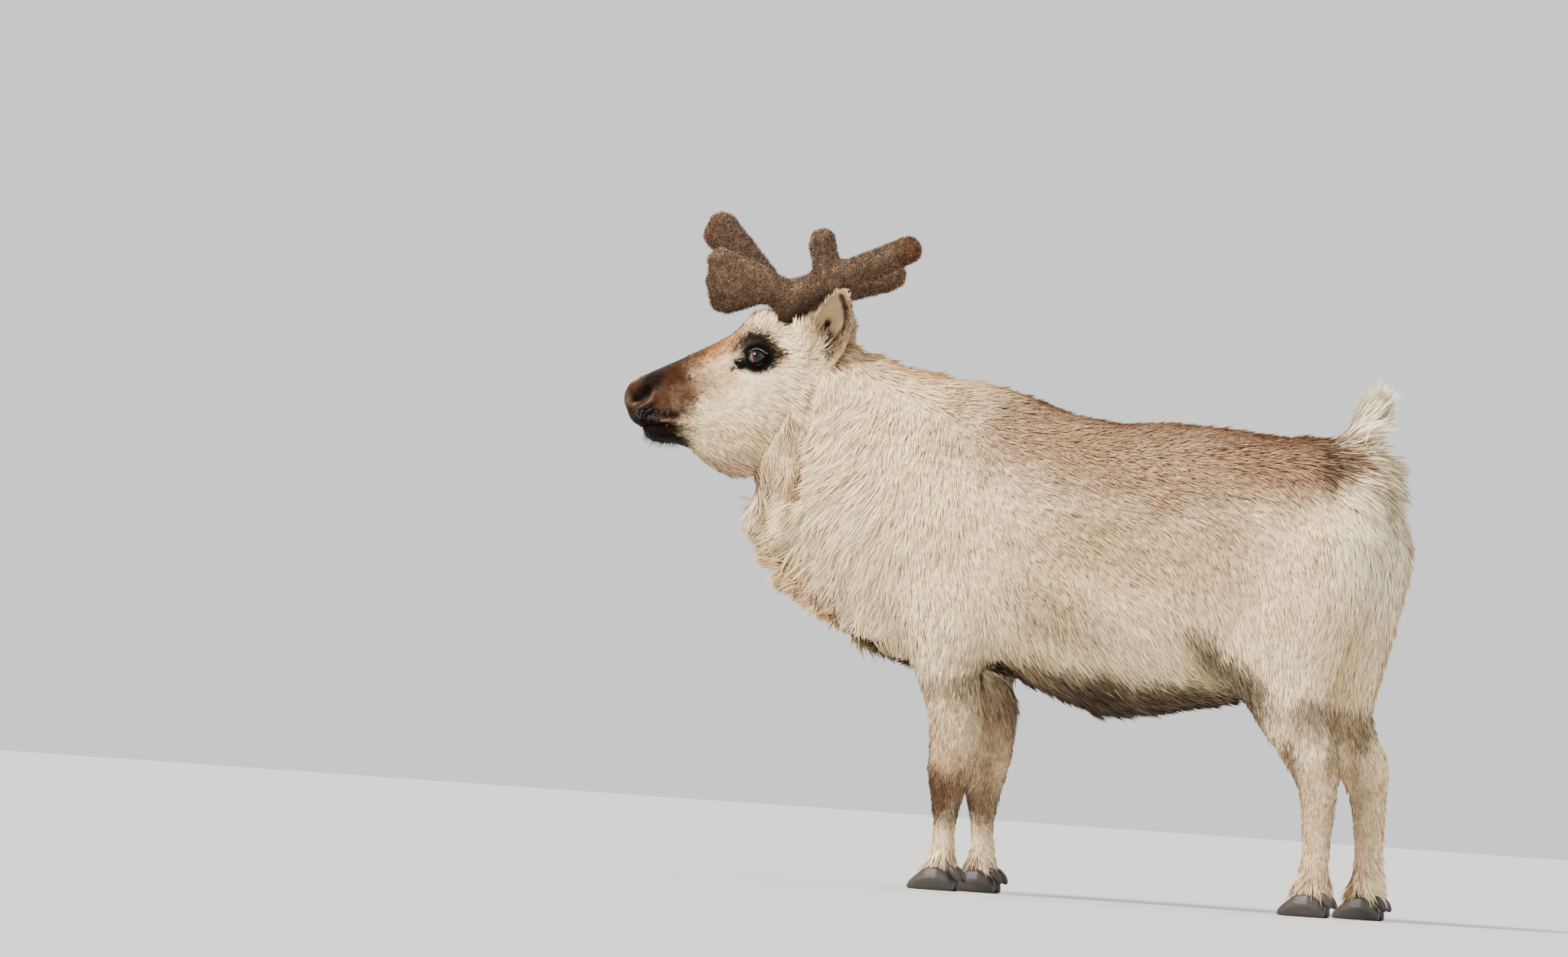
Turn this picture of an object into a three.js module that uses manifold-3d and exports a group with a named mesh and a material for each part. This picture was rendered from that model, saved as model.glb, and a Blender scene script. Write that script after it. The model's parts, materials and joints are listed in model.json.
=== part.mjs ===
// Svalbard reindeer, standing, life size, in millimetres.
// +Z is up, the animal faces -X and its left side is -Y.
// Each mesh is one named sub-part. Neighbours meet face to face, GAP apart.
import * as THREE from "three";
import { mergeVertices } from "three/addons/utils/BufferGeometryUtils.js";
import Module from "manifold-3d";

const wasm = await Module();
wasm.setup();

// Driving dimensions
const GAP = 0.3;
// A cutter is its neighbour grown a little past GAP; MITRE limits how far a sharp corner of it moves.
const GROWTH = 0.36;
const MITRE = 0.35;

// Head pose: the poll is the head's own origin; the head turns to its left and tips towards its right.
const POLL = { x: -608, y: -20 };
const HEAD_YAW = 13;
const HEAD_ROLL = 6;
const ROLL_AXIS_Z = 830;

const EYE = { forward: 134, side: 68, height: 877, radius: 17 };
const LID = { thickness: 4.5, stretch: 1.12, halfLength: 16.5, halfHeight: 12.5, slope: -8 };
const NOSTRIL = { forward: 331, side: 37, height: 807, length: 18, depth: 15, tall: 10, slope: -34, swing: 30 };
const MOUTH_GROOVE = { radius: 2.4, front: 9, steps: 16 };
const BROW = { forward: 136, side: 60, height: 891, length: 32, depth: 17, slope: -14, swing: 4 };
const NOSE = { forward: 332, height: 806, length: 24, width: 36, tall: 28, slope: 20 };
// The ear's tip is back, out and up from its root, and its open side faces out and a little forward.
const EAR = { forward: 34, side: 60, height: 872, back: 41, out: 44, up: 127, radius: 36, depth: 0.8, bow: 6 };
const EAR_SHAPE = { places: [0, 0.29, 0.57, 0.8, 1], shares: [0.7, 0.93, 0.91, 0.65, 0.2] };
const EAR_WALL = { root: 7, tip: 4.5 };
const EAR_FACING = { forward: 0.35, out: 1 };
const EAR_GAPE = { root: 50, widest: 150 };

const KNEE = { x: -340, z: 196 };
const HOCK = { x: 300, z: 236 };
// The neck is parted from the torso at the withers, and the head from the neck behind the jaw.
const NECK_CUT = { x: -472, z: 645, lean: 0.165 };
const HEAD_CUT = { forward: 58, height: 806, run: 263, rise: 152 };

// Facets round each kind of loft
const TRUNK_FACETS = 30;
const HEAD_FACETS = 26;
const LEG_FACETS = 14;
const ANTLER_FACETS = 10;
const CLAW_FACETS = 8;
const DOCK_FACETS = 12;

// Locks of long hair: SINK is how deep a root goes in, SEED fixes the random draws
const LOCK_SINK = 13;
const LOCK_SEED = 11;
// A lock's width and thickness at three places along it, and how its thickness is shared to back and front
const LOCK_PROFILE = {
  places: [0, 0.42, 0.8, 1],
  wide: [0.76, 1, 0.64],
  thick: [0.9, 1, 0.6],
  back: 0.6,
  front: 0.4,
};
// How much locks of the ruff and mane stand up from the neck, as a share of their run
const RUFF_LIFT = { root: 0.45, rootBelow: 0.25, tip: 0.05 };
const MANE_LIFT = { root: 0.5, tip: 0.12 };
const RUFF = { rows: 8, columns: 5, spread: 0.42, width: 54, thickness: 15, shortest: 46, longest: 94 };
const RUFF_LIE = { throat: [-0.92, 0, -0.4], chest: [-0.4, 0, -0.92] };
const RUFF_REACH = { places: [0, 0.45, 1], shares: [0.85, 1.2, 0.5] };
const MANE = { rows: 5, columns: 3, spread: 0.42, width: 46, thickness: 12, length: 82 };
const TAIL_LOCKS = { rows: 4, columns: 6, width: 46, thickness: 15, rear: 90, front: 48 };
// How far the tail's locks stand off the dock, in front, behind and low, and behind and high on it
const TAIL_STAND = { front: 0.35, low: 2.6, high: 0.7, droop: 1.35, tip: 0.8 };

const COLOURS = {
  coat: { color: 0xd9cdbd, roughness: 0.95 },
  velvet: { color: 0x6b5a4d, roughness: 0.9 },
  hoof: { color: 0x2b2622, roughness: 0.55 },
  eye: { color: 0x120d0b, roughness: 0.05 },
};

// A section is a closed ring between two end points a and b, given as [x, z], with a half-width w each side.
// q says how far from b towards a it is widest, and na and nb how square its two halves are (2 is round).
// The trunk runs from the rump to inside the head: a is on the back, b on the belly or throat.
const TRUNK = [
  { a: [353, 708], b: [355, 688], w: 9, q: 0.5, na: 2, nb: 2 },
  { a: [343, 748], b: [351, 632], w: 66, q: 0.5, na: 2, nb: 2 },
  { a: [314, 778], b: [326, 560], w: 118, q: 0.5, na: 2, nb: 2 },
  { a: [275, 796], b: [280, 490], w: 150, q: 0.5, na: 2, nb: 2 },
  { a: [220, 804], b: [220, 430], w: 171, q: 0.48, na: 2.1, nb: 2.1 },
  { a: [150, 810], b: [150, 362], w: 184, q: 0.45, na: 2.1, nb: 2.2 },
  { a: [60, 818], b: [60, 338], w: 196, q: 0.43, na: 2.1, nb: 2.2 },
  { a: [-30, 820], b: [-30, 322], w: 204, q: 0.42, na: 2.1, nb: 2.2 },
  { a: [-110, 814], b: [-110, 318], w: 204, q: 0.42, na: 2.1, nb: 2.2 },
  { a: [-190, 825], b: [-190, 342], w: 194, q: 0.43, na: 2, nb: 2.2 },
  { a: [-270, 853], b: [-270, 372], w: 180, q: 0.44, na: 1.85, nb: 2.2 },
  { a: [-350, 872], b: [-350, 384], w: 172, q: 0.45, na: 1.8, nb: 2.2 },
  { a: [-410, 876], b: [-430, 380], w: 165, q: 0.45, na: 1.8, nb: 2.1 },
  { a: [-455, 879], b: [-520, 410], w: 152, q: 0.46, na: 1.85, nb: 2, y: -2, yaw: 2 },
  { a: [-498, 885], b: [-606, 472], w: 135, q: 0.48, na: 1.9, nb: 2, y: -6, yaw: 4 },
  { a: [-537, 896], b: [-676, 542], w: 120, q: 0.5, na: 1.95, nb: 2, y: -10, yaw: 7 },
  { a: [-574, 911], b: [-716, 608], w: 108, q: 0.5, na: 2, nb: 2, y: -15, yaw: 10 },
  { a: [-606, 926], b: [-732, 667], w: 98, q: 0.52, na: 2, nb: 2, y: -20, yaw: 13 },
  { a: [-634, 930], b: [-722, 712], w: 84, q: 0.54, na: 2, nb: 2, y: -24, yaw: 13 },
];

// The head, in its own frame: x runs forward from the poll and z is height.
// Here a is on the forehead and b under the jaw.
const HEAD = [
  { a: [-22, 925], b: [-22, 838], w: 36, q: 0.5, na: 2, nb: 2 },
  { a: [12, 955], b: [12, 785], w: 66, q: 0.52, na: 2, nb: 2 },
  { a: [58, 970], b: [58, 738], w: 78, q: 0.56, na: 2.1, nb: 1.9 },
  { a: [104, 968], b: [104, 702], w: 81, q: 0.6, na: 2.2, nb: 1.8 },
  { a: [134, 964], b: [134, 682], w: 78, q: 0.66, na: 2.4, nb: 1.75 },
  { a: [154, 953], b: [154, 675], w: 71, q: 0.66, na: 2.4, nb: 1.75 },
  { a: [176, 930], b: [176, 677], w: 62, q: 0.62, na: 2.3, nb: 1.8 },
  { a: [206, 909], b: [206, 690], w: 54, q: 0.56, na: 2.2, nb: 1.9 },
  { a: [236, 891], b: [236, 712], w: 48, q: 0.52, na: 2.2, nb: 2 },
  { a: [264, 875], b: [264, 739], w: 45, q: 0.52, na: 2.3, nb: 2.3 },
  { a: [290, 863], b: [290, 746], w: 45, q: 0.52, na: 2.4, nb: 2.5 },
  { a: [314, 852], b: [314, 748], w: 43, q: 0.52, na: 2.4, nb: 2.5 },
  { a: [336, 839], b: [336, 754], w: 37, q: 0.52, na: 2.4, nb: 2.3 },
  { a: [350, 827], b: [350, 767], w: 27, q: 0.52, na: 2.2, nb: 2 },
  { a: [358, 812], b: [358, 790], w: 10, q: 0.5, na: 2, nb: 2 },
];
const JAW = [
  { a: [206, 742], b: [206, 712], w: 18 },
  { a: [236, 756], b: [240, 722], w: 31 },
  { a: [268, 760], b: [270, 728], w: 36 },
  { a: [298, 759], b: [292, 727], w: 34 },
  { a: [318, 757], b: [312, 732], w: 27 },
  { a: [328, 756], b: [325, 743], w: 12 },
];
// The line of the mouth from its corner to the front, as [forward, height] pairs
const MOUTH = [[246, 760], [258, 756], [274, 754], [292, 754.5], [310, 754.5], [326, 754]];

// A leg, from inside the body down to the pastern: a is in front, b behind, y its distance from the middle.
const FRONT_LEG = [
  { a: [-430, 640], b: [-310, 640], w: 34, y: 88 },
  { a: [-456, 590], b: [-284, 590], w: 56, y: 100 },
  { a: [-458, 520], b: [-268, 520], w: 66, y: 107 },
  { a: [-448, 460], b: [-268, 460], w: 66, y: 108 },
  { a: [-434, 412], b: [-280, 412], w: 59, y: 103 },
  { a: [-415, 368], b: [-287, 368], w: 50, y: 97 },
  { a: [-397, 324], b: [-281, 324], w: 44, y: 92 },
  { a: [-388, 280], b: [-281, 280], w: 40, y: 88 },
  { a: [-385, 240], b: [-287, 240], w: 36, y: 86 },
  { a: [-387, 200], b: [-296, 200], w: 33, y: 85 },
  { a: [-379, 160], b: [-310, 160], w: 27, y: 85 },
  { a: [-370, 114], b: [-320, 114], w: 23, y: 85 },
  { a: [-370, 70], b: [-320, 70], w: 25, y: 85 },
  { a: [-378, 44], b: [-322, 44], w: 27, y: 85 },
  { a: [-380, 24], b: [-334, 24], w: 20, y: 85 },
];
const HIND_LEG = [
  { a: [210, 746], b: [334, 746], w: 30, y: 62 },
  { a: [150, 706], b: [374, 706], w: 64, y: 72 },
  { a: [104, 652], b: [389, 652], w: 82, y: 82 },
  { a: [70, 600], b: [386, 600], w: 88, y: 88 },
  { a: [46, 547], b: [373, 547], w: 87, y: 93 },
  { a: [36, 500], b: [359, 500], w: 82, y: 97 },
  { a: [46, 454], b: [345, 454], w: 73, y: 100 },
  { a: [104, 404], b: [328, 404], w: 61, y: 102 },
  { a: [167, 348], b: [311, 348], w: 50, y: 102 },
  { a: [193, 312], b: [322, 312], w: 43, y: 101 },
  { a: [217, 281], b: [340, 281], w: 38, y: 100 },
  { a: [244, 246], b: [345, 246], w: 34, y: 100 },
  { a: [264, 211], b: [342, 211], w: 29, y: 100 },
  { a: [272, 173], b: [339, 173], w: 26, y: 100 },
  { a: [276, 122], b: [337, 122], w: 24, y: 100 },
  { a: [276, 73], b: [336, 73], w: 26, y: 100 },
  { a: [270, 44], b: [335, 44], w: 28, y: 100 },
  { a: [266, 24], b: [320, 24], w: 20, y: 100 },
];
// How far the right legs stand behind the left ones, as [height, shift] pairs
const FRONT_STRIDE = [[0, 30], [190, 15], [400, 2], [640, 0]];
const HIND_STRIDE = [[0, 50], [250, 38], [400, 28], [700, 0]];

// One claw of a foot, toe to heel, with x forward from under the pastern and y away from the cleft
const CLAW = [
  { a: [50, 6], b: [50, -4], w: 4, y: 8 },
  { a: [44, 15], b: [44, -4], w: 11, y: 12 },
  { a: [30, 27], b: [30, -4], w: 16, y: 17 },
  { a: [12, 42], b: [12, -4], w: 18, y: 20 },
  { a: [-8, 44], b: [-8, -4], w: 19, y: 22 },
  { a: [-26, 32], b: [-26, -4], w: 16, y: 21 },
  { a: [-36, 16], b: [-36, -4], w: 8, y: 18 },
];
const CLAW_SET_BACK = 4;
const DEWCLAW = { back: 36, side: 19, height: 30, length: 21, radius: 9, slope: 50 };

// Antler lines in the head's frame: [forward, side, height, upright radius, sideways radius]
const LEFT_BEAM = [
  [96, 40, 915, 20, 20], [94, 44, 944, 23, 23], [84, 50, 968, 27, 25], [66, 58, 990, 26, 25],
  [36, 72, 1010, 26, 24], [-10, 92, 1028, 25, 23], [-60, 112, 1046, 26, 24], [-106, 130, 1068, 24, 22],
];
const LEFT_BROW = [
  [92, 50, 992, 24, 20], [126, 50, 1002, 31, 19], [158, 47, 1006, 44, 17], [190, 43, 1006, 53, 15],
  [217, 40, 1003, 52, 14],
];
const LEFT_TINE = [[20, 80, 1014, 30, 21], [30, 83, 1048, 24, 21], [38, 86, 1079, 23, 21]];
const RIGHT_BEAM = [
  [98, 40, 915, 20, 20], [96, 44, 944, 23, 23], [86, 50, 968, 26, 25], [66, 58, 990, 26, 24],
  [34, 72, 1006, 25, 23], [-14, 92, 1020, 24, 22], [-62, 112, 1036, 24, 22], [-80, 120, 1046, 23, 21],
];
const RIGHT_BROW = [
  [78, 52, 988, 25, 22], [118, 54, 1012, 24, 22], [156, 54, 1042, 24, 21], [194, 53, 1076, 25, 22],
  [226, 51, 1105, 26, 22],
];
const RIGHT_TINE = [[22, 80, 1008, 23, 20], [28, 82, 1036, 21, 19], [34, 84, 1060, 20, 18]];

// The dock of the tail, which the long hair hides: a is its front, b its rear
const TAIL = [
  { a: [258, 790], b: [302, 728], w: 24 },
  { a: [276, 820], b: [324, 770], w: 30 },
  { a: [294, 846], b: [336, 812], w: 26 },
  { a: [311, 866], b: [329, 852], w: 12 },
];

const rad = THREE.MathUtils.degToRad;
const lerp = THREE.MathUtils.lerp;
const vec = (x, y, z) => new THREE.Vector3(x, y, z);

// The value at t of a smooth curve through values at knots, without overshoot.
function smooth(knots, values, t) {
  const last = knots.length - 1;
  let i = 0;
  while (i < last - 1 && t > knots[i + 1]) i++;
  const rise = (k) => (values[k + 1] - values[k]) / (knots[k + 1] - knots[k]);
  const slope = (k) => {
    if (k === 0 || k === last) return rise(Math.min(k, last - 1));
    const before = rise(k - 1);
    const after = rise(k);
    return before * after <= 0 ? 0 : (2 * before * after) / (before + after);
  };
  const span = knots[i + 1] - knots[i];
  const u = THREE.MathUtils.clamp((t - knots[i]) / span, 0, 1);
  const h = u * u * (3 - 2 * u);
  const bend = u * (1 - u) * span;
  return lerp(values[i], values[i + 1], h) + bend * ((1 - u) * slope(i) - u * slope(i + 1));
}

// A loft through sections, as a surface that can be asked for any ring, point or normal.
class Loft {
  constructor(sections) {
    const middle = (s) => [(s.a[0] + s.b[0]) / 2, (s.a[1] + s.b[1]) / 2];
    this.knots = [0];
    sections.slice(1).forEach((s, i) => {
      const [x0, z0] = middle(sections[i]);
      const [x1, z1] = middle(s);
      this.knots.push(this.knots[i] + Math.hypot(x1 - x0, z1 - z0));
    });
    const field = (get) => sections.map(get);
    this.fields = {
      ax: field((s) => s.a[0]),
      az: field((s) => s.a[1]),
      bx: field((s) => s.b[0]),
      bz: field((s) => s.b[1]),
      w: field((s) => s.w),
      q: field((s) => s.q ?? 0.5),
      na: field((s) => s.na ?? 2),
      nb: field((s) => s.nb ?? 2),
      y: field((s) => s.y ?? 0),
      yaw: field((s) => s.yaw ?? 0),
    };
    this.length = this.knots.at(-1);
  }

  section(t) {
    const at = {};
    for (const [name, values] of Object.entries(this.fields)) at[name] = smooth(this.knots, values, t);
    return at;
  }

  // The point at length t and angle turn, which is 0 at a and grows towards +y.
  point(t, turn) {
    const s = this.section(t);
    const c = Math.cos(turn);
    const side = Math.sin(turn);
    const n = c >= 0 ? s.na : s.nb;
    const along = Math.sign(c) * Math.abs(c) ** (2 / n);
    const across = s.w * Math.sign(side) * Math.abs(side) ** (2 / n);
    const share = along >= 0 ? lerp(s.q, 1, along) : lerp(s.q, 0, -along);
    const yaw = rad(s.yaw);
    const x = lerp(s.bx, s.ax, share) - across * Math.sin(yaw);
    return vec(x, s.y + across * Math.cos(yaw), lerp(s.bz, s.az, share));
  }

  ring(t, facets) {
    return Array.from({ length: facets }, (_, k) => this.point(t, (k / facets) * Math.PI * 2));
  }

  // How far out the surface is at a place along x and a height, or 0 where it has none.
  sideAt(x, z) {
    let [low, high] = [0, this.length];
    for (let i = 0; i < 24; i++) {
      const t = (low + high) / 2;
      const s = this.section(t);
      if (lerp(s.bx, s.ax, 0.5) < x) low = t;
      else high = t;
    }
    const around = Array.from({ length: 181 }, (_, k) => this.point(low, (k / 180) * Math.PI));
    const crossing = around.findIndex((p) => p.z <= z);
    return crossing > 0 ? Math.abs(around[crossing].y) : 0;
  }

  // The outward normal at a point, and the direction of growing t there.
  frame(t, turn) {
    const step = 0.02;
    const ahead = this.point(Math.min(t + 1, this.length), turn);
    const along = ahead.sub(this.point(Math.max(t - 1, 0), turn)).normalize();
    const round = this.point(t, turn + step).sub(this.point(t, turn - step));
    const normal = round.cross(along).normalize();
    const s = this.section(t);
    const middle = vec((s.ax + s.bx) / 2, s.y, (s.az + s.bz) / 2);
    if (normal.dot(this.point(t, turn).sub(middle)) < 0) normal.negate();
    return { root: this.point(t, turn), normal, along };
  }

  // Rings at each section and at evenly spaced places between.
  rings(facets, between) {
    const places = this.knots.slice(1).flatMap((knot, i) =>
      Array.from({ length: between }, (_, k) => lerp(this.knots[i], knot, k / between)));
    return [...places, this.length].map((t) => this.ring(t, facets));
  }
}

// A closed geometry through rings of equal count, each end closed by a fan to its middle.
function ringGeometry(rings) {
  const count = rings[0].length;
  const points = rings.flat();
  const index = [];
  for (let i = 0; i < rings.length - 1; i++)
    for (let k = 0; k < count; k++) {
      const a = i * count + k;
      const b = i * count + ((k + 1) % count);
      index.push(a, b, b + count, a, b + count, a + count);
    }
  for (const [ring, flip] of [[0, true], [rings.length - 1, false]]) {
    const centre = points.length;
    points.push(rings[ring].reduce((sum, p) => sum.add(p), vec(0, 0, 0)).divideScalar(count));
    for (let k = 0; k < count; k++) {
      const edge = [ring * count + k, ring * count + ((k + 1) % count)];
      index.push(...(flip ? edge.reverse() : edge), centre);
    }
  }
  return new THREE.BufferGeometry().setFromPoints(points).setIndex(index);
}

// A closed geometry as a manifold-3d solid, turned to face outwards.
function solid(geometry, matrix) {
  const bare = new THREE.BufferGeometry().setAttribute("position", geometry.getAttribute("position").clone());
  if (geometry.index) bare.setIndex(geometry.index.clone());
  if (matrix) bare.applyMatrix4(matrix);
  const merged = mergeVertices(bare, 1e-4);
  const vertProperties = merged.attributes.position.array;
  const make = (triVerts) => new wasm.Manifold(new wasm.Mesh({ numProp: 3, vertProperties, triVerts }));
  const triVerts = new Uint32Array(merged.index.array);
  const made = make(triVerts);
  return made.volume() > 0 ? made : make(triVerts.reverse());
}

function geometryOf(made) {
  const mesh = made.getMesh();
  return new THREE.BufferGeometry()
    .setAttribute("position", new THREE.BufferAttribute(new Float32Array(mesh.vertProperties), 3))
    .setIndex(new THREE.BufferAttribute(new Uint32Array(mesh.triVerts), 1));
}

// Evenly spread numbers from 0 to 1 that are the same on each run.
function seeded(seed) {
  let state = seed;
  return () => {
    state = (state * 1664525 + 1013904223) % 4294967296;
    return state / 4294967296;
  };
}
const random = seeded(LOCK_SEED);
const vary = (value, share) => value * (1 + share * (2 * random() - 1));

// A flat lock of hair that tapers to a point. It leaves its root along start and ends along finish, and its
// back is turned to the side that over points to.
function lock({ root, normal, over = normal, start, finish, length, width, thickness }) {
  const { places, wide, thick, back, front } = LOCK_PROFILE;
  const across = start.clone().cross(over).normalize();
  const centres = [root.clone().addScaledVector(normal, -LOCK_SINK)];
  const heading = (s) => start.clone().lerp(finish, s).normalize();
  for (let i = 1; i < places.length; i++) {
    const span = (places[i] - places[i - 1]) * (length + LOCK_SINK);
    centres.push(centres[i - 1].clone().addScaledVector(heading((places[i] + places[i - 1]) / 2), span));
  }
  const points = wide.flatMap((share, i) => {
    const up = across.clone().cross(heading(places[i])).normalize();
    if (up.dot(over) < 0) up.negate();
    const half = (width / 2) * share;
    const depth = thickness * thick[i];
    return [[half, 0], [0, depth * back], [-half, 0], [0, -depth * front]].map(([side, rise]) =>
      centres[i].clone().addScaledVector(across, side).addScaledVector(up, rise));
  });
  const tip = points.push(centres.at(-1)) - 1;
  const index = [0, 1, 2, 0, 2, 3];
  for (let i = 0; i < wide.length; i++)
    for (let k = 0; k < 4; k++) {
      const [a, b] = [i * 4 + k, i * 4 + ((k + 1) % 4)];
      index.push(...(i + 1 < wide.length ? [a, a + 4, b, b, a + 4, b + 4] : [a, tip, b]));
    }
  return solid(new THREE.BufferGeometry().setFromPoints(points).setIndex(index));
}

const hang = (direction, normal, lift) => direction.clone().addScaledVector(normal, lift).normalize();

// The ruff hangs forwards and down from the throat to the chest.
function ruffLocks(loft, from, to) {
  return Array.from({ length: RUFF.rows }, (_, row) => {
    const share = (row + 0.5) / RUFF.rows;
    const t = lerp(from, to, share);
    const fall = vec(...RUFF_LIE.throat).lerp(vec(...RUFF_LIE.chest), share).normalize();
    const count = RUFF.columns - (row % 2);
    return Array.from({ length: count }, (_, column) => {
      const turn = Math.PI + (column - (count - 1) / 2) * RUFF.spread + 0.06 * (2 * random() - 1);
      const { root, normal, along } = loft.frame(t + 8 * (2 * random() - 1), turn);
      const below = Math.max(0, fall.dot(normal));
      const reach = smooth(RUFF_REACH.places, RUFF_REACH.shares, share);
      return lock({
        root,
        normal,
        over: normal.clone().lerp(along, below),
        start: hang(fall, normal, lerp(RUFF_LIFT.root, RUFF_LIFT.rootBelow, below)),
        finish: hang(fall, normal, RUFF_LIFT.tip),
        length: vary(reach * lerp(RUFF.longest, RUFF.shortest, below), 0.12),
        width: vary(RUFF.width, 0.12),
        thickness: lerp(RUFF.thickness, RUFF.thickness * 2, below),
      });
    });
  }).flat();
}

// The mane lies backwards along the top of the neck and stands a little proud of it.
function maneLocks(loft, from, to) {
  return Array.from({ length: MANE.rows }, (_, row) => {
    const t = lerp(from, to, (row + 0.5) / MANE.rows);
    return Array.from({ length: MANE.columns }, (_, column) => {
      const turn = (column - (MANE.columns - 1) / 2 + (row % 2) / 4) * MANE.spread;
      const { root, normal, along } = loft.frame(t, turn);
      const back = along.negate();
      return lock({
        root,
        normal,
        start: hang(back, normal, MANE_LIFT.root),
        finish: hang(back, normal, MANE_LIFT.tip),
        length: vary(MANE.length, 0.15),
        width: vary(MANE.width, 0.15),
        thickness: MANE.thickness,
      });
    });
  }).flat();
}

// The tail's locks fan out, upright along its front and backwards below.
function tailLocks(loft) {
  return Array.from({ length: TAIL_LOCKS.rows }, (_, row) => {
    const share = row / (TAIL_LOCKS.rows - 1);
    return Array.from({ length: TAIL_LOCKS.columns }, (_, column) => {
      const turn = ((column + (row % 2) / 2) / TAIL_LOCKS.columns) * Math.PI * 2;
      const { root, normal, along } = loft.frame(loft.length * lerp(0.12, 0.93, share), turn);
      const rear = (1 - Math.cos(turn)) / 2;
      const stand = lerp(TAIL_STAND.front, lerp(TAIL_STAND.low, TAIL_STAND.high, share), rear);
      const rise = along.multiplyScalar(1 - TAIL_STAND.droop * rear * (1 - share));
      return lock({
        root,
        normal,
        start: hang(rise, normal, stand),
        finish: hang(rise, normal, stand * TAIL_STAND.tip),
        length: vary(lerp(TAIL_LOCKS.front, TAIL_LOCKS.rear, rear), 0.12),
        width: vary(TAIL_LOCKS.width, 0.15),
        thickness: TAIL_LOCKS.thickness,
      });
    });
  }).flat();
}

const union = (parts) => parts.reduce((sum, part) => sum.add(part));
const without = (made, cuts) => cuts.reduce((left, cut) => left.subtract(cut), made);
const largest = (made) => made.decompose().reduce((a, b) => (a.volume() > b.volume() ? a : b));

// The solid pushed out so that every face moves by at least the given distance, to cut its neighbours with.
function grown(made, by = GROWTH) {
  const geometry = geometryOf(made);
  const place = geometry.attributes.position;
  const corner = (i) => vec(0, 0, 0).fromBufferAttribute(place, i);
  const faces = Array.from({ length: place.count }, () => []);
  for (let i = 0; i < geometry.index.count; i += 3) {
    const ids = [0, 1, 2].map((k) => geometry.index.getX(i + k));
    const at = ids.map(corner);
    const normal = at[1].clone().sub(at[0]).cross(at[2].clone().sub(at[0]));
    if (normal.length() < 1e-3) continue;
    normal.normalize();
    ids.forEach((id, k) => {
      const angle = at[(k + 1) % 3].clone().sub(at[k]).angleTo(at[(k + 2) % 3].clone().sub(at[k]));
      faces[id].push({ normal, angle });
    });
  }
  faces.forEach((round, id) => {
    if (!round.length) return;
    const mean = vec(0, 0, 0);
    for (const face of round) mean.addScaledVector(face.normal, face.angle);
    mean.normalize();
    const least = Math.min(...round.map((face) => face.normal.dot(mean)));
    const moved = corner(id).addScaledVector(mean, by / Math.max(MITRE, least));
    place.setXYZ(id, moved.x, moved.y, moved.z);
  });
  return solid(geometry);
}

// A cutting sheet of thickness GAP through a point, with its face along the normal.
function sheet(centre, normal, size) {
  const turn = new THREE.Quaternion().setFromUnitVectors(vec(0, 0, 1), normal.clone().normalize());
  return solid(new THREE.BoxGeometry(size, size, GAP), new THREE.Matrix4().compose(centre, turn, vec(1, 1, 1)));
}

// The head's own frame (x forward, y to the animal's left, z up) carried to the model's frame.
const headFrame = new THREE.Matrix4()
  .makeTranslation(POLL.x, POLL.y, ROLL_AXIS_Z)
  .multiply(new THREE.Matrix4().makeRotationZ(rad(180 + HEAD_YAW)))
  .multiply(new THREE.Matrix4().makeRotationX(rad(HEAD_ROLL)))
  .multiply(new THREE.Matrix4().makeTranslation(0, 0, -ROLL_AXIS_Z));
const headPoint = (forward, side, height) => vec(forward, side, height).applyMatrix4(headFrame);

const mirrored = (sections, side) => sections.map((s) => ({ ...s, y: (s.y ?? 0) * side }));

// An ellipsoid in the head's frame, turned about its sideways axis and then about the vertical one.
function headEllipsoid(centre, radii, slope, swing = 0, facets = 14) {
  const place = headFrame.clone()
    .multiply(new THREE.Matrix4().makeTranslation(...centre))
    .multiply(new THREE.Matrix4().makeRotationZ(rad(swing)))
    .multiply(new THREE.Matrix4().makeRotationY(rad(-slope)))
    .multiply(new THREE.Matrix4().makeScale(...radii));
  return solid(new THREE.SphereGeometry(1, facets, Math.round(facets * 0.7)), place);
}

function makeEyes() {
  return [1, -1].map((side) =>
    headEllipsoid([EYE.forward, side * EYE.side, EYE.height], [EYE.radius, EYE.radius, EYE.radius], 0, 0, 13));
}

// The lids are a raised shell over the eye with an almond-shaped opening.
function lids(side) {
  const reach = EYE.radius + LID.thickness;
  const centre = [EYE.forward, side * EYE.side, EYE.height];
  const outside = [EYE.forward, side * (EYE.side + EYE.radius), EYE.height];
  const shell = headEllipsoid(centre, [reach * LID.stretch, reach, reach], LID.slope);
  const opening = headEllipsoid(outside, [LID.halfLength, EYE.radius, LID.halfHeight], LID.slope, 0, 12);
  return { shell, opening };
}

// The line of the mouth, a groove from one corner round under the nose to the other.
function mouthGroove() {
  const lips = [new Loft(HEAD), new Loft(JAW)];
  const half = MOUTH.map(([forward, height]) =>
    [forward, Math.max(...lips.map((loft) => loft.sideAt(forward, height))), height]);
  const front = [half.at(-1)[0] + MOUTH_GROOVE.front, 0, half.at(-1)[2]];
  const other = half.toReversed().map(([forward, side, height]) => [forward, -side, height]);
  const line = new THREE.CatmullRomCurve3([...half, front, ...other].map((p) => headPoint(...p)));
  const cut = new THREE.Shape().absellipse(0, 0, MOUTH_GROOVE.radius, MOUTH_GROOVE.radius, 0, Math.PI * 2);
  const sweep = { steps: MOUTH_GROOVE.steps, curveSegments: 3, extrudePath: line, bevelEnabled: false };
  return solid(new THREE.ExtrudeGeometry(cut, sweep));
}

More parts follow.
